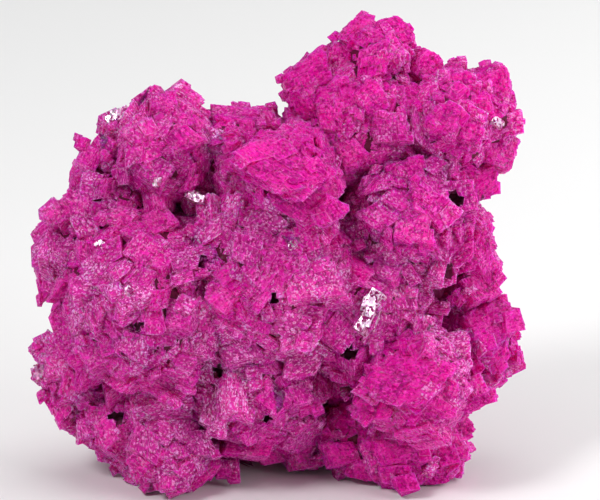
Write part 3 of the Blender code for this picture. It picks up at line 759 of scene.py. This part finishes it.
def young_growth_tree():
    """Crystals of the given forms, scattered on the bare faces, each with its own look."""
    tree = bpy.data.node_groups.new("young_growth", "GeometryNodeTree")
    face = tree.interface
    face.new_socket("Geometry", in_out="INPUT", socket_type="NodeSocketGeometry")
    for name, kind in (("Spacing", "Float"), ("Size", "Float"), ("Unevenness", "Float"), ("Wobble", "Float"),
                       ("Sunk", "Float"), ("Seed", "Int"), ("Forms", "Collection"), ("Finish", "Material")):
        face.new_socket(name, in_out="INPUT", socket_type="NodeSocket" + kind)
    face.new_socket("Geometry", in_out="OUTPUT", socket_type="NodeSocketGeometry")
    nodes, links = tree.nodes, tree.links
    given = nodes.new("NodeGroupInput").outputs

    def sum_of(operation, first, second):
        made = nodes.new("ShaderNodeMath")
        made.operation = operation
        for slot, value in zip(made.inputs, (first, second)):
            if isinstance(value, (int, float)):
                slot.default_value = value
            else:
                links.new(value, slot)
        return made.outputs[0]

    def chance(kind, low, high, seed):
        made = nodes.new("FunctionNodeRandomValue")
        made.data_type = kind
        live = [s for s in made.inputs if s.enabled]
        for slot, value in zip(live, (low, high)):
            if isinstance(value, (int, float)):
                slot.default_value = (value,) * 3 if kind == "FLOAT_VECTOR" else value
            else:
                links.new(value, slot)
        links.new(sum_of("ADD", given["Seed"], seed), live[-1])
        return next(s for s in made.outputs if s.enabled)

    def named(kind, name):
        made = nodes.new("GeometryNodeInputNamedAttribute")
        made.data_type = kind
        made.inputs["Name"].default_value = name
        return next(s for s in made.outputs if s.enabled)

    def stored(geometry, domain, kind, name, value):
        made = nodes.new("GeometryNodeStoreNamedAttribute")
        made.domain = domain
        made.data_type = kind
        made.inputs["Name"].default_value = name
        links.new(geometry, made.inputs["Geometry"])
        slot = [s for s in made.inputs if s.enabled][-1]
        if isinstance(value, (int, float)):
            slot.default_value = value
        else:
            links.new(value, slot)
        return made.outputs["Geometry"]

    def without(geometry, name):
        made = nodes.new("GeometryNodeRemoveAttribute")
        made.pattern_mode = "WILDCARD"
        made.inputs["Name"].default_value = name
        links.new(geometry, made.inputs["Geometry"])
        return made.outputs["Geometry"]

    points = nodes.new("GeometryNodeDistributePointsOnFaces")
    points.distribute_method = "POISSON"
    links.new(given["Geometry"], points.inputs["Mesh"])
    links.new(given["Spacing"], points.inputs["Distance Min"])
    links.new(sum_of("DIVIDE", 5.0, sum_of("MULTIPLY", given["Spacing"], given["Spacing"])),
              points.inputs["Density Max"])
    links.new(named("FLOAT", "bare"), points.inputs["Density Factor"])
    links.new(given["Seed"], points.inputs["Seed"])

    parent = nodes.new("FunctionNodeEulerToRotation")
    links.new(named("FLOAT_VECTOR", "turned"), parent.inputs[0])
    most = given["Wobble"]
    least = sum_of("MULTIPLY", most, -1.0)
    lean = nodes.new("ShaderNodeCombineXYZ")
    for number, slot in enumerate(lean.inputs):
        links.new(chance("FLOAT", least, most, 20 + number), slot)
    wobble = nodes.new("FunctionNodeEulerToRotation")
    links.new(lean.outputs[0], wobble.inputs[0])
    turned = nodes.new("FunctionNodeRotateRotation")
    turned.rotation_space = "LOCAL"
    links.new(parent.outputs[0], turned.inputs[0])
    links.new(wobble.outputs[0], turned.inputs[1])

    size = sum_of("MULTIPLY", given["Size"], sum_of("ADD", 1.0, chance(
        "FLOAT", sum_of("MULTIPLY", given["Unevenness"], -1.0), given["Unevenness"], 30)))
    forms = nodes.new("GeometryNodeCollectionInfo")
    forms.inputs["Separate Children"].default_value = True
    forms.inputs["Reset Children"].default_value = True
    links.new(given["Forms"], forms.inputs["Collection"])
    placed = nodes.new("GeometryNodeInstanceOnPoints")
    placed.inputs["Pick Instance"].default_value = True
    bare_points = points.outputs["Points"]
    for name in ("facet", "deep", "bare", "growth", "lattice", "border", "massive"):
        bare_points = without(bare_points, name)
    sunk = nodes.new("GeometryNodeSetPosition")
    links.new(bare_points, sunk.inputs["Geometry"])
    inward = nodes.new("ShaderNodeVectorMath")
    inward.operation = "SCALE"
    links.new(points.outputs["Normal"], inward.inputs[0])
    links.new(sum_of("MULTIPLY", sum_of("MULTIPLY", size, given["Sunk"]), -1.0), inward.inputs["Scale"])
    links.new(inward.outputs[0], sunk.inputs["Offset"])
    links.new(sunk.outputs[0], placed.inputs["Points"])
    links.new(forms.outputs[0], placed.inputs["Instance"])
    links.new(turned.outputs[0], placed.inputs["Rotation"])
    spread = nodes.new("ShaderNodeCombineXYZ")
    links.new(size, spread.inputs[0])
    links.new(sum_of("MULTIPLY", size, chance("FLOAT", 0.6, 1.15, 31)), spread.inputs[1])
    links.new(sum_of("MULTIPLY", size, chance("FLOAT", 0.28, 0.9, 32)), spread.inputs[2])
    links.new(spread.outputs[0], placed.inputs["Scale"])

    direction = nodes.new("GeometryNodeInputInstanceRotation")
    angles = nodes.new("FunctionNodeRotationToEuler")
    links.new(direction.outputs[0], angles.inputs[0])
    made = stored(placed.outputs[0], "INSTANCE", "FLOAT_VECTOR", "turned_now", angles.outputs[0])
    own = sum_of("MULTIPLY", chance("FLOAT", 0.0, 1.0, 40), 0.45)
    made = stored(made, "INSTANCE", "FLOAT", "crystal_now",
                  sum_of("ADD", own, sum_of("MULTIPLY", named("FLOAT", "crystal"), 0.55)))
    own = sum_of("MULTIPLY", sum_of("POWER", chance("FLOAT", 0.0, 1.0, 50), 3.0), 0.5)
    made = stored(made, "INSTANCE", "FLOAT", "frost_and_sparkle_now",
                  sum_of("ADD", own, sum_of("MULTIPLY", named("FLOAT", "frost_and_sparkle"), 0.7)))
    made = stored(made, "INSTANCE", "FLOAT", "size_now", size)
    real = nodes.new("GeometryNodeRealizeInstances")
    links.new(made, real.inputs[0])
    made = stored(real.outputs[0], "FACE", "FLOAT", "crystal", named("FLOAT", "crystal_now"))
    made = stored(made, "FACE", "FLOAT", "frost_and_sparkle", named("FLOAT", "frost_and_sparkle_now"))
    made = stored(made, "FACE", "FLOAT_VECTOR", "turned", named("FLOAT_VECTOR", "turned_now"))
    made = stored(made, "FACE", "FLOAT", "deep", 0.0)
    made = stored(made, "FACE", "FLOAT", "bare", 0.0)
    made = stored(made, "FACE", "FLOAT", "growth", 0.6)
    stretch = nodes.new("ShaderNodeVectorMath")
    stretch.operation = "SCALE"
    links.new(named("FLOAT_VECTOR", "lattice"), stretch.inputs[0])
    links.new(sum_of("MULTIPLY", named("FLOAT", "size_now"), 1000.0), stretch.inputs["Scale"])
    shift = nodes.new("ShaderNodeVectorMath")
    shift.operation = "ADD"
    links.new(stretch.outputs[0], shift.inputs[0])
    links.new(sum_of("MULTIPLY", named("FLOAT", "crystal_now"), 977.0), shift.inputs[1])
    made = stored(made, "CORNER", "FLOAT2", "lattice", shift.outputs[0])
    made = without(made, "*_now")
    coat = nodes.new("GeometryNodeSetMaterial")
    links.new(made, coat.inputs["Geometry"])
    links.new(given["Finish"], coat.inputs["Material"])
    out = nodes.new("NodeGroupOutput")
    links.new(coat.outputs[0], out.inputs[0])
    return tree


YOUNG_TREE = young_growth_tree()
YOUNG_FORMS = bpy.data.collections.new("young forms")
front_edges = (EDGES[0], EDGES[1], -EDGES[2])
for form in FORMS["young"]:
    for vertex in form.data.vertices:
        u, v, w = vertex.co
        u, v, w = u + 0.25 * v * w, v - 0.2 * w * u, w + 0.3 * u * v
        vertex.co = front_edges[0] * u + front_edges[1] * v + front_edges[2] * w
    YOUNG_FORMS.objects.link(form)


def crop(base, **given):
    """One crop of young crystals on the base's bare faces, as an object of its own."""
    scatter = bpy.data.objects.new("crop", base.data)
    bpy.context.scene.collection.objects.link(scatter)
    modifier = scatter.modifiers.new("young", "NODES")
    modifier.node_group = YOUNG_TREE
    for item in YOUNG_TREE.interface.items_tree:
        if item.in_out == "INPUT" and item.name in given:
            modifier[item.identifier] = given[item.name]
    bake(scatter)
    return scatter


# The lobes
#
# The specimen is one solid. It is dressed in five lobes that run into one another: the tower, the left
# knobs, the lower left, the middle with its saddle ridge, and the right.

LOBES = {
    "tower_crystals": ("tower", "tower peak", "tower left", "tower right", "tower shoulder"),
    "left_crystals": ("left flank", "upper left knob", "left shoulder", "left edge", "left hip"),
    "lower_left_crystals": ("belly", "lower left", "left foot", "arch"),
    "middle_crystals": ("heart", "right heart", "saddle knob", "saddle ridge"),
    "right_crystals": ("right waist", "right edge"),
    "lower_right_crystals": ("right hip", "lower right", "right foot", "right toe", "arch right"),
}
GROUP_LOBES = {
    "tower": "tower_crystals", "saddle ridge": "middle_crystals", "upper left": "left_crystals",
    "left": "left_crystals", "lower left": "lower_left_crystals", "centre": "middle_crystals",
    "right": "right_crystals", "lower right": "lower_right_crystals",
}
BALL_LOBES = {}
for number, lump in enumerate(LUMPS):
    BALL_LOBES[number] = next(lobe for lobe, members in LOBES.items() if lump in members)

front = front_crystals()
rest = fill_crystals(front)
members = {lobe: [] for lobe in LOBES}
number = 0
for group, rows in FRONT_CRYSTALS.items():
    for row in rows:
        members[GROUP_LOBES[group]].append((front[number], group))
        number += 1
for found in rest:
    nearest = min(range(len(BALLS)), key=lambda n: (found[0] - BALLS[n][0]).length - BALLS[n][1])
    members[BALL_LOBES[nearest]].append((found, "rest"))

SUGARY = ("tower", "saddle ridge", "lower right", "right")
# Spots with frosted faces that catch a sheen of the light: more pale speckle there, partly frost and partly painted
# sheen.
FROST_AND_SHEEN_SPOTS = ((-13.3, 35.9), (-5.5, 35.3), (4.5, 27.5), (2.4, 21.3), (15.8, 25.1), (20.1, 29.1),
                 (-26.9, 16.5), (-4.4, 13.4), (-7.4, 11.1))
# Spots where the crystals glow most with light through them, painted the brighter hot pink and without frost: partly
# their own colour, partly a painted glow.
HOT_GLOW_SPOTS = ((1.1, 41.3), (3.6, 51.9), (27.8, 49.6), (11.8, 55.6), (16.1, 15.0), (27.5, 21.3))


def in_view(point):
    """Where a point is seen: millimetres across and up from the feet."""
    return point.dot(RIGHT), point.dot(UP) + FLOOR_LINE


def near(across, up, spots, reach):
    """One on a spot, falling to nothing at its reach."""
    nearest = min(math.hypot(across - x, up - y) for x, y in spots)
    return max(0.0, 1 - nearest / reach) ** 0.5


GROUND_RISE = 0.25


def swelling(name, lobe):
    """The lobe's lumps fused, as the ground between its crystals, marked deep and so painted dark as shade."""
    balls = []
    for number, owner in BALL_LOBES.items():
        if owner == lobe:
            edit = bmesh.new()
            centre, radius = BALLS[number]
            bmesh.ops.create_icosphere(
                edit, subdivisions=3, radius=(radius + GROUND_RISE) * MM,
                matrix=Matrix.Translation((centre + CENTRED) * MM),
            )
            mesh = bpy.data.meshes.new(name)
            edit.loops.layers.uv.new("lattice")
            edit.loops.layers.uv.new("border")
            edit.to_mesh(mesh)
            edit.free()
            faces = len(mesh.polygons)
            ground = {"crystal": 0.5, "frost_and_sparkle": 0.0, "deep": 1.0, "facet": 0.8, "growth": 1.0}
            for key, value in ground.items():
                mesh.attributes.new(key, "FLOAT", "FACE").data.foreach_set("value", [value] * faces)
            mesh.attributes.new("turned", "FLOAT_VECTOR", "FACE").data.foreach_set("vector", [0.3] * 3 * faces)
            ball = bpy.data.objects.new(name, mesh)
            bpy.context.scene.collection.objects.link(ball)
            balls.append(ball)
    return grown_together(balls[0], balls[1:])


def within_part(target):
    """Cuts off what would stand out of the part's box, and the underside at the floor."""
    edit = bmesh.new()
    bmesh.ops.create_cube(edit, size=1.0)
    inset = 0.02 * MM
    low, high = cad_low + Vector((inset, inset, 0)), cad_high - Vector((inset, inset, inset))
    for vertex in edit.verts:
        vertex.co = [(low[k] + high[k]) / 2 + vertex.co[k] * (high[k] - low[k]) for k in range(3)]
    mesh = bpy.data.meshes.new("room")
    edit.to_mesh(mesh)
    edit.free()
    room = bpy.data.objects.new("room", mesh)
    bpy.context.scene.collection.objects.link(room)
    return grown_together(target, [room], "INTERSECT")


GROUND_CROPS = (3.2, 3.0, 2.8, 2.6, 2.4, 2.4, 2.2, 2.2, 2.0, 2.0, 1.8, 1.6, 1.4, 1.2)
FINE_GROUND_CROPS = (2.2, 2.1, 2.0, 1.9, 1.7, 1.7, 1.5, 1.5, 1.4, 1.2, 1.1, 1.0)
CRYSTAL_CROPS = (2.6, 2.3, 2.0, 1.8, 1.6, 1.4, 1.2)
FINE_CRYSTAL_CROPS = (1.8, 1.6, 1.4, 1.2, 1.0)
SHEETS = [(np.array(point + CENTRED), np.array(outward)) for point, outward in back_planes()]


side = EDGES[0].normalized()
upward = EDGES[0].cross(EDGES[1]).normalized()
FLAT_FRAME = np.array([list(side), list(upward.cross(side)), list(upward)])


def lying_flat(base, faces):
    """Angles that lay a young crystal's broad face on each ground face, spun at random."""
    normals = np.empty(len(base.data.polygons) * 3)
    base.data.polygons.foreach_get("normal", normals)
    up = normals.reshape(-1, 3)[faces]
    spin = np.random.default_rng(len(faces)).normal(size=up.shape)
    along = np.cross(spin, up)
    along /= np.linalg.norm(along, axis=1)[:, None] + 1e-12
    across = np.cross(up, along)
    turn = np.einsum("nki,kj->nij", np.stack([along, across, up], 1), FLAT_FRAME)
    lean = -np.arcsin(np.clip(turn[:, 2, 0], -1, 1))
    return np.stack([np.arctan2(turn[:, 2, 1], turn[:, 2, 2]), lean, np.arctan2(turn[:, 1, 0], turn[:, 0, 0])], 1)


def mark_bare(base, lobe, crystals, tones, frost_and_sparkle_values, on_crystals):
    """Says where young crystals may grow: on bare ground that no other lobe covers, and a few on crystals."""
    faces = len(base.data.polygons)
    centres = np.empty(faces * 3)
    base.data.polygons.foreach_get("center", centres)
    centres = centres.reshape(-1, 3) / MM
    deep = np.empty(faces, np.float32)
    base.data.attributes["deep"].data.foreach_get("value", deep)
    open_here = (centres[:, 2] > 0.9) & (centres[:, 2] < cad_high.z / MM - 1)
    for number, owner in BALL_LOBES.items():
        if owner != lobe:
            centre, radius = BALLS[number]
            away = np.linalg.norm(centres - np.array(centre + CENTRED), axis=1)
            open_here &= away > radius - 0.8
    in_back = np.full(faces, 1e9)
    for point, outward in SHEETS:
        in_back = np.minimum(in_back, (point - centres) @ outward)
    open_here &= in_back < 0.3
    growth = np.empty(faces, np.float32)
    base.data.attributes["growth"].data.foreach_get("value", growth)
    bare = np.where(deep > 0.5, 1.0, on_crystals * growth) * open_here
    if "bare" not in base.data.attributes:
        base.data.attributes.new("bare", "FLOAT", "FACE")
    base.data.attributes["bare"].data.foreach_set("value", bare.astype(np.float32))
    ground = np.where(deep > 0.5)[0]
    if len(ground):
        anchors = np.array([list(place[0] + CENTRED) for place, _ in crystals])
        nearest = ((centres[ground][:, None] - anchors[None]) ** 2).sum(2).argmin(1)
        for key, values in (("crystal", tones), ("frost_and_sparkle", frost_and_sparkle_values)):
            found = np.empty(faces, np.float32)
            base.data.attributes[key].data.foreach_get("value", found)
            found[ground] = values[nearest]
            base.data.attributes[key].data.foreach_set("value", found)
        turned = np.empty(faces * 3, np.float32)
        base.data.attributes["turned"].data.foreach_get("vector", turned)
        turned = turned.reshape(-1, 3)
        turned[ground] = lying_flat(base, ground)
        base.data.attributes["turned"].data.foreach_set("vector", turned.ravel())
    return float(bare.sum())


import time
began = time.time()
lobes = {}
waist_gap = (placed(24.6, 25.4, 1.0), turned(20, 30, 10), (4.4, 4.0, 4.0))
members["right_crystals"].append((waist_gap, "rest"))
for lobe, found in members.items():
    chance = random.Random(lobe)
    made = swelling(lobe, lobe)
    crystals = []
    tones, frost_and_sparkle_values = [], []
    for number, (place, group) in enumerate(found):
        size = sum(place[2]) / 3
        if group in SUGARY or size > 6:
            kind = "sugary"
        elif size > 3.8:
            kind = "stepped"
        else:
            kind = "broad"
        saddle = [chance.choice((-1, 1)) * chance.uniform(0.1, 0.35) for _ in range(3)]
        bulge = 0.45 if kind == "sugary" else 0.05
        across, up = in_view(place[0])
        frost_and_sheen_share = max(0.14 + 0.8 * chance.random() ** 3, 0.95 * near(across, up, FROST_AND_SHEEN_SPOTS, 2.6))
        # Hot spots and sugary crystals are painted the brighter hot pink: partly their own colour, partly a painted
        # glow.
        hot_glow = max(near(across, up, HOT_GLOW_SPOTS, 6.0), 0.9 if group in SUGARY else 0.0)
        looks = {
            "crystal": chance.random() * (1 - 0.8 * hot_glow),
            "frost_and_sparkle": frost_and_sheen_share * (1 - hot_glow),
            "deep": 0.0,
            "growth": 0.9 if kind == "sugary" else chance.choice((0.1, 0.15, 0.5, 0.9)),
        }
        tones.append(looks["crystal"])
        frost_and_sparkle_values.append(looks["frost_and_sparkle"])
        crystals.append(grown_rhomb(
            f"{lobe}_{number}", place, chance.choice(FORMS[kind]), saddle, bulge, looks, chance.uniform(0, 50),
        ))
    grown_together(made, crystals)
    tones, frost_and_sparkle_values = np.array(tones, np.float32), np.array(frost_and_sparkle_values, np.float32)
    fine = lobe == "tower_crystals"
    for number, size in enumerate(FINE_GROUND_CROPS if fine else GROUND_CROPS):
        mark_bare(made, lobe, found, tones, frost_and_sparkle_values, 0.0)
        scatter = crop(made, Spacing=size * 2.0 * MM, Size=size * MM, Unevenness=0.2, Wobble=0.40, Sunk=0.14,
                       Seed=number * 100 + 7, Forms=YOUNG_FORMS, Finish=dolomite)
        grown_together(made, [scatter])
    for number, size in enumerate(FINE_CRYSTAL_CROPS if fine else CRYSTAL_CROPS):
        mark_bare(made, lobe, found, tones, frost_and_sparkle_values, 1.0)
        scatter = crop(made, Spacing=size * 2.0 * MM, Size=size * MM, Unevenness=0.2, Wobble=0.26, Sunk=0.30,
                       Seed=number * 100 + 9007, Forms=YOUNG_FORMS, Finish=dolomite)
        grown_together(made, [scatter])
    lobes[lobe] = made
    print(lobe, round(time.time() - began, 1))

# Bright faces and dark holes
#
# A few cleavage faces stand so that they throw the lamp back, each broken into many small mirrors, which are
# also painted near white as a painted highlight. A few holes are cut between the crystals, their walls marked
# deep and so painted dark as shade.

KEY_PLACE = Vector((-300.0, -280.0, 420.0))
BRIGHT_FACES = (
    (-19.7, 47.3, 2.6, 1.6, 20), (-9.5, 37.4, 2.8, 1.5, -18), (11.0, 23.4, 2.0, 4.2, -22),
    (-29.6, 15.4, 1.6, 2.4, 10), (-21.6, 31.3, 1.0, 1.2, 35), (-14.4, 38.9, 0.9, 0.9, 15),
    (2.1, 31.3, 1.4, 1.2, 40), (-17.8, 25.6, 1.3, 1.1, -30), (26.8, 46.5, 1.0, 1.2, 5),
)
DARK_HOLES = (
    (22.0, 36.3, 1.5), (21.0, 28.4, 1.7), (8.6, 18.4, 1.5), (-8.5, 29.0, 1.1), (-16.4, 21.3, 0.9),
    (-0.1, 24.4, 0.9), (-22.3, 11.9, 1.1), (-19.6, 10.0, 1.3), (-18.3, 17.5, 0.8),
    (-7.0, 15.6, 0.9), (-1.0, 10.0, 1.0), (9.0, 13.0, 1.0),
)


SCALES_OF_A_BRIGHT_FACE = 5
CUTS_OF_A_HOLE = 3


def foremost(across, up, width, height):
    """The lobe and the point that stand foremost over this patch of the front view."""
    best = None
    for aside in (-0.3, 0.0, 0.3):
        for above in (-0.3, 0.0, 0.3):
            found = first_hit(across + aside * width, up + above * height)
            if found and (best is None or found[1].dot(TO_VIEWER) > best[1].dot(TO_VIEWER)):
                best = found
    if best is None:
        return None
    lobe, place = best
    middle = (RIGHT * across + UP * (up - FLOOR_LINE) + CENTRED) * MM
    return lobe, middle + TO_VIEWER * (place.dot(TO_VIEWER) - middle.dot(TO_VIEWER))


def first_hit(across, up):
    """The lobe and the point that the front view shows at this place."""
    origin = (RIGHT * across + UP * (up - FLOOR_LINE) + CENTRED + TO_VIEWER * 90.0) * MM
    best = None
    for lobe, made in lobes.items():
        hit, place, normal, index = made.ray_cast(origin, -TO_VIEWER)
        if hit and (best is None or (place - origin).length < (best[1] - origin).length):
            best = (lobe, place)
    return best


def plain_block(name, centre, size, rotation, looks):
    """A single block for the lobes, with its looks on its faces."""
    made = block(name, Vector(), Vector(size) * MM, rotation, 0.5)
    for vertex in made.data.vertices:
        vertex.co += centre
    lattice = made.data.uv_layers["lattice"]
    for corner in lattice.data:
        corner.uv = Vector(corner.uv) / MM
    for key, value in looks.items():
        if key not in made.data.attributes:
            made.data.attributes.new(key, "FLOAT", "FACE")
        made.data.attributes[key].data.foreach_set("value", [value] * 6)
    made.data.materials.append(dolomite)
    return made


added = {lobe: [] for lobe in LOBES}
taken_away = {lobe: [] for lobe in LOBES}
chance = random.Random(77)
for number, (across, up, width, height, spin) in enumerate(BRIGHT_FACES):
    found = foremost(across, up, width, height)
    if found is None:
        continue
    lobe, place = found
    facing = (TO_VIEWER + (KEY_PLACE * MM - place).normalized()).normalized()
    side = UP.cross(facing).normalized()
    face_frame = Matrix([side, facing.cross(side), facing]).transposed()
    for scale in range(SCALES_OF_A_BRIGHT_FACE):
        turn = random_rotation(chance, 6.0) @ face_frame @ Matrix.Rotation(math.radians(spin + chance.uniform(-14, 14)), 3, "Z")
        slip = turn @ Vector((chance.uniform(-0.34, 0.34) * width, chance.uniform(-0.34, 0.34) * height, 0)) * MM
        centre = place + slip - facing * chance.uniform(1.15, 1.35) * MM
        size = (width * chance.uniform(0.35, 0.72), height * chance.uniform(0.35, 0.72), 2.6)
        looks = {"crystal": chance.random(), "frost_and_sparkle": 1.0, "deep": 0.0, "facet": chance.random(), "growth": 0.0,
                 "glint": chance.choice((1.0, 1.0, 0.6))}
        added[lobe].append(plain_block(f"bright_{number}_{scale}", centre, size, turn, looks))
for number, (across, up, width) in enumerate(DARK_HOLES):
    found = first_hit(across, up)
    if found is None:
        continue
    lobe, place = found
    for cut in range(CUTS_OF_A_HOLE):
        turn = Matrix([RIGHT, UP, TO_VIEWER]).transposed() @ random_rotation(chance, 34.0)
        turn = turn @ Matrix.Rotation(chance.uniform(0, 3), 3, "Z")
        looks = {"crystal": chance.random(), "frost_and_sparkle": 0.0, "deep": 1.0, "facet": 0.8, "growth": 0.0,
                 "massive": chance.choice((0.35, 0.75, 1.0))}
        size = (width * chance.uniform(0.35, 0.8), width * chance.uniform(0.6, 1.5), 2.6)
        slip = (RIGHT * chance.uniform(-0.4, 0.4) + UP * chance.uniform(-0.4, 0.4)) * width * MM
        taken_away[lobe].append(plain_block(f"hole_{number}_{cut}", place + slip - TO_VIEWER * 0.4 * MM, size, turn, looks))

def dull_in_the_back(base):
    """Faces within the back's fractures are massive stone, where a flake may have laid them open."""
    faces = len(base.data.polygons)
    centres = np.empty(faces * 3)
    base.data.polygons.foreach_get("center", centres)
    centres = centres.reshape(-1, 3) / MM - np.array(CENTRED)
    inside = np.ones(faces, bool)
    for point, outward in back_planes():
        inside &= (centres - np.array(point)) @ np.array(outward) < 0.4
    if "massive" not in base.data.attributes:
        base.data.attributes.new("massive", "FLOAT", "FACE")
    massive = np.empty(faces, np.float32)
    base.data.attributes["massive"].data.foreach_get("value", massive)
    massive[inside] = 1.0
    base.data.attributes["massive"].data.foreach_set("value", massive)


for lobe, made in lobes.items():
    for operand in taken_away[lobe]:
        grown_together(made, [operand], "DIFFERENCE")
    for operand in added[lobe]:
        grown_together(made, [operand])
    within_part(made)
    dull_in_the_back(made)
    made.data.materials.clear()
    made.data.materials.append(dolomite)
    made.data.calc_loop_triangles()
    print(lobe, "triangles", len(made.data.loop_triangles), round(time.time() - began, 1))
    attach(made, "root")
    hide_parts("dolomite_cluster")

# The broken back, dressed
#
# Massive dolomite, broken in ledges along its grains' cleavage, greyer and duller than the crystals.

UNCUT = 200.0
BACK_GRAINS = (7.0, 6.0, 5.0, 5.0, 4.0, 4.0, 3.2, 3.2, 2.6, 2.6, 2.0, 2.0, 1.6)


def parted_block(name, planes):
    """What a large cube keeps once it is parted along each plane, with its faces laid out flat."""
    edit = bmesh.new()
    bmesh.ops.create_cube(edit, size=UNCUT)
    for point, outward in planes:
        cut = bmesh.ops.bisect_plane(
            edit, geom=edit.verts[:] + edit.edges[:] + edit.faces[:],
            plane_co=point, plane_no=outward, clear_outer=True,
        )
        rim = [part for part in cut["geom_cut"] if isinstance(part, bmesh.types.BMEdge)]
        if rim:
            bmesh.ops.contextual_create(edit, geom=rim)
    bmesh.ops.recalc_face_normals(edit, faces=edit.faces)
    bmesh.ops.translate(edit, vec=CENTRED, verts=edit.verts)
    lattice = edit.loops.layers.uv.new("lattice")
    border = edit.loops.layers.uv.new("border")
    for face in edit.faces:
        side = face.normal.orthogonal().normalized()
        other = face.normal.cross(side)
        for corner in face.loops:
            corner[lattice].uv = (corner.vert.co.dot(side), corner.vert.co.dot(other))
            corner[border].uv = (0.5, 0.5)
    bmesh.ops.scale(edit, vec=Vector((MM, MM, MM)), verts=edit.verts)
    mesh = bpy.data.meshes.new(name)
    edit.to_mesh(mesh)
    edit.free()
    faces = len(mesh.polygons)
    stone = {"crystal": 0.5, "frost_and_sparkle": 0.3, "deep": 0.0, "facet": 0.7, "growth": 1.0, "massive": 1.0}
    for key, value in stone.items():
        mesh.attributes.new(key, "FLOAT", "FACE").data.foreach_set("value", [value] * faces)
    mesh.attributes.new("turned", "FLOAT_VECTOR", "FACE").data.foreach_set("vector", [0.3] * 3 * faces)
    mesh.materials.append(dolomite)
    made = bpy.data.objects.new(name, mesh)
    bpy.context.scene.collection.objects.link(made)
    return made


broken_back = parted_block("broken_back", back_planes())
for number, (corner, ways) in enumerate(BACK_FLAKES):
    grown_together(broken_back, [parted_block(f"flake_{number}", flake_planes(corner, ways))], "DIFFERENCE")


def open_back(base):
    """Grain may grow on the back wherever no lobe covers it."""
    faces = len(base.data.polygons)
    centres = np.empty(faces * 3)
    base.data.polygons.foreach_get("center", centres)
    centres = centres.reshape(-1, 3) / MM
    open_here = (centres[:, 2] > 0.8) & (centres[:, 2] < cad_high.z / MM - 1)
    for centre, radius in BALLS:
        away = np.linalg.norm(centres - np.array(centre + CENTRED), axis=1)
        open_here &= away > radius - 1.0
    if "bare" not in base.data.attributes:
        base.data.attributes.new("bare", "FLOAT", "FACE")
    base.data.attributes["bare"].data.foreach_set("value", open_here.astype(np.float32))


for number, size in enumerate(BACK_GRAINS):
    open_back(broken_back)
    scatter = crop(broken_back, Spacing=size * 2.0 * MM, Size=size * MM, Unevenness=0.2, Wobble=3.1, Sunk=0.42,
                   Seed=number * 100 + 5007, Forms=YOUNG_FORMS, Finish=dolomite)
    mesh = scatter.data
    if "massive" in mesh.attributes:
        mesh.attributes.remove(mesh.attributes["massive"])
    mesh.attributes.new("massive", "FLOAT", "FACE").data.foreach_set("value", [1.0] * len(mesh.polygons))
    grown_together(broken_back, [scatter])
within_part(broken_back)
broken_back.data.attributes["massive"].data.foreach_set("value", [1.0] * len(broken_back.data.polygons))
broken_back.data.materials.clear()
broken_back.data.materials.append(dolomite)
broken_back.data.calc_loop_triangles()
print("broken_back triangles", len(broken_back.data.loop_triangles), round(time.time() - began, 1))
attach(broken_back, "root")
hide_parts("dolomite_cluster")

for forms in FORMS.values():
    for form in forms:
        bpy.data.objects.remove(form)

# The table, the light and the view
#
# The specimen stands on a white sheet that curves up behind it, in soft light from the upper left.

edit = bmesh.new()
SHEET = 3.0
profile = [(-1.5, 0.0), (0.7, 0.0)]
for step in range(1, 13):
    angle = math.radians(90 * step / 12)
    profile.append((0.7 + 0.5 * math.sin(angle), 0.5 - 0.5 * math.cos(angle)))
profile.append((1.2, 3.0))
rows = []
for y, z in profile:
    rows.append([edit.verts.new((x, y, z)) for x in (-SHEET, SHEET)])
for near, far in zip(rows, rows[1:]):
    edit.faces.new((near[0], near[1], far[1], far[0]))
mesh = bpy.data.meshes.new("sheet")
edit.to_mesh(mesh)
edit.free()
sheet = bpy.data.objects.new("sheet", mesh)
for face in mesh.polygons:
    face.use_smooth = True
bpy.context.scene.collection.objects.link(sheet)
paper = bpy.data.materials.new("white_sheet")
paper.use_nodes = True
paper.node_tree.nodes["Principled BSDF"].inputs["Base Color"].default_value = (0.80, 0.80, 0.80, 1)
paper.node_tree.nodes["Principled BSDF"].inputs["Roughness"].default_value = 0.7
mesh.materials.append(paper)


def soft_light(name, place, aim, size, power, colour=(1, 1, 1)):
    lamp = bpy.data.lights.new(name, "AREA")
    lamp.shape = "RECTANGLE"
    lamp.size, lamp.size_y = size
    lamp.energy = power
    lamp.color = colour
    made = bpy.data.objects.new(name, lamp)
    made.location = place
    made.rotation_mode = "QUATERNION"
    made.rotation_quaternion = (Vector(aim) - Vector(place)).to_track_quat("-Z", "Y")
    bpy.context.scene.collection.objects.link(made)


middle = (0, 0, 0.03)
soft_light("key", (-0.30, -0.28, 0.42), middle, (0.15, 0.15), 1.7)
soft_light("top", (0.0, 0.05, 0.75), middle, (0.7, 0.7), 2.4)
soft_light("fill", (0.36, -0.20, 0.20), middle, (0.25, 0.25), 0.95)
soft_light("rim", (0.30, 0.16, 0.20), middle, (0.20, 0.20), 0.7)

world = bpy.data.worlds.new("studio")
bpy.context.scene.world = world
world.use_nodes = True
world.node_tree.nodes["Background"].inputs["Color"].default_value = (1, 1, 1, 1)
world.node_tree.nodes["Background"].inputs["Strength"].default_value = 0.22
bpy.context.scene.view_settings.view_transform = "Standard"

lens = bpy.data.cameras.new("view")
camera = bpy.data.objects.new("view", lens)
bpy.context.scene.collection.objects.link(camera)
bpy.context.scene.camera = camera
DISTANCE = 800.0
FRAME_WIDTH = 75.0
lens.sensor_width = 36.0
lens.lens = 36.0 * DISTANCE / FRAME_WIDTH
lens.clip_start = 0.01
aim = RIGHT * 3.0 + UP * (30.625 - FLOOR_LINE) + CENTRED
camera.location = (aim + TO_VIEWER * DISTANCE) * MM
camera.rotation_mode = "QUATERNION"
camera.rotation_quaternion = (-TO_VIEWER).to_track_quat("-Z", "Y")
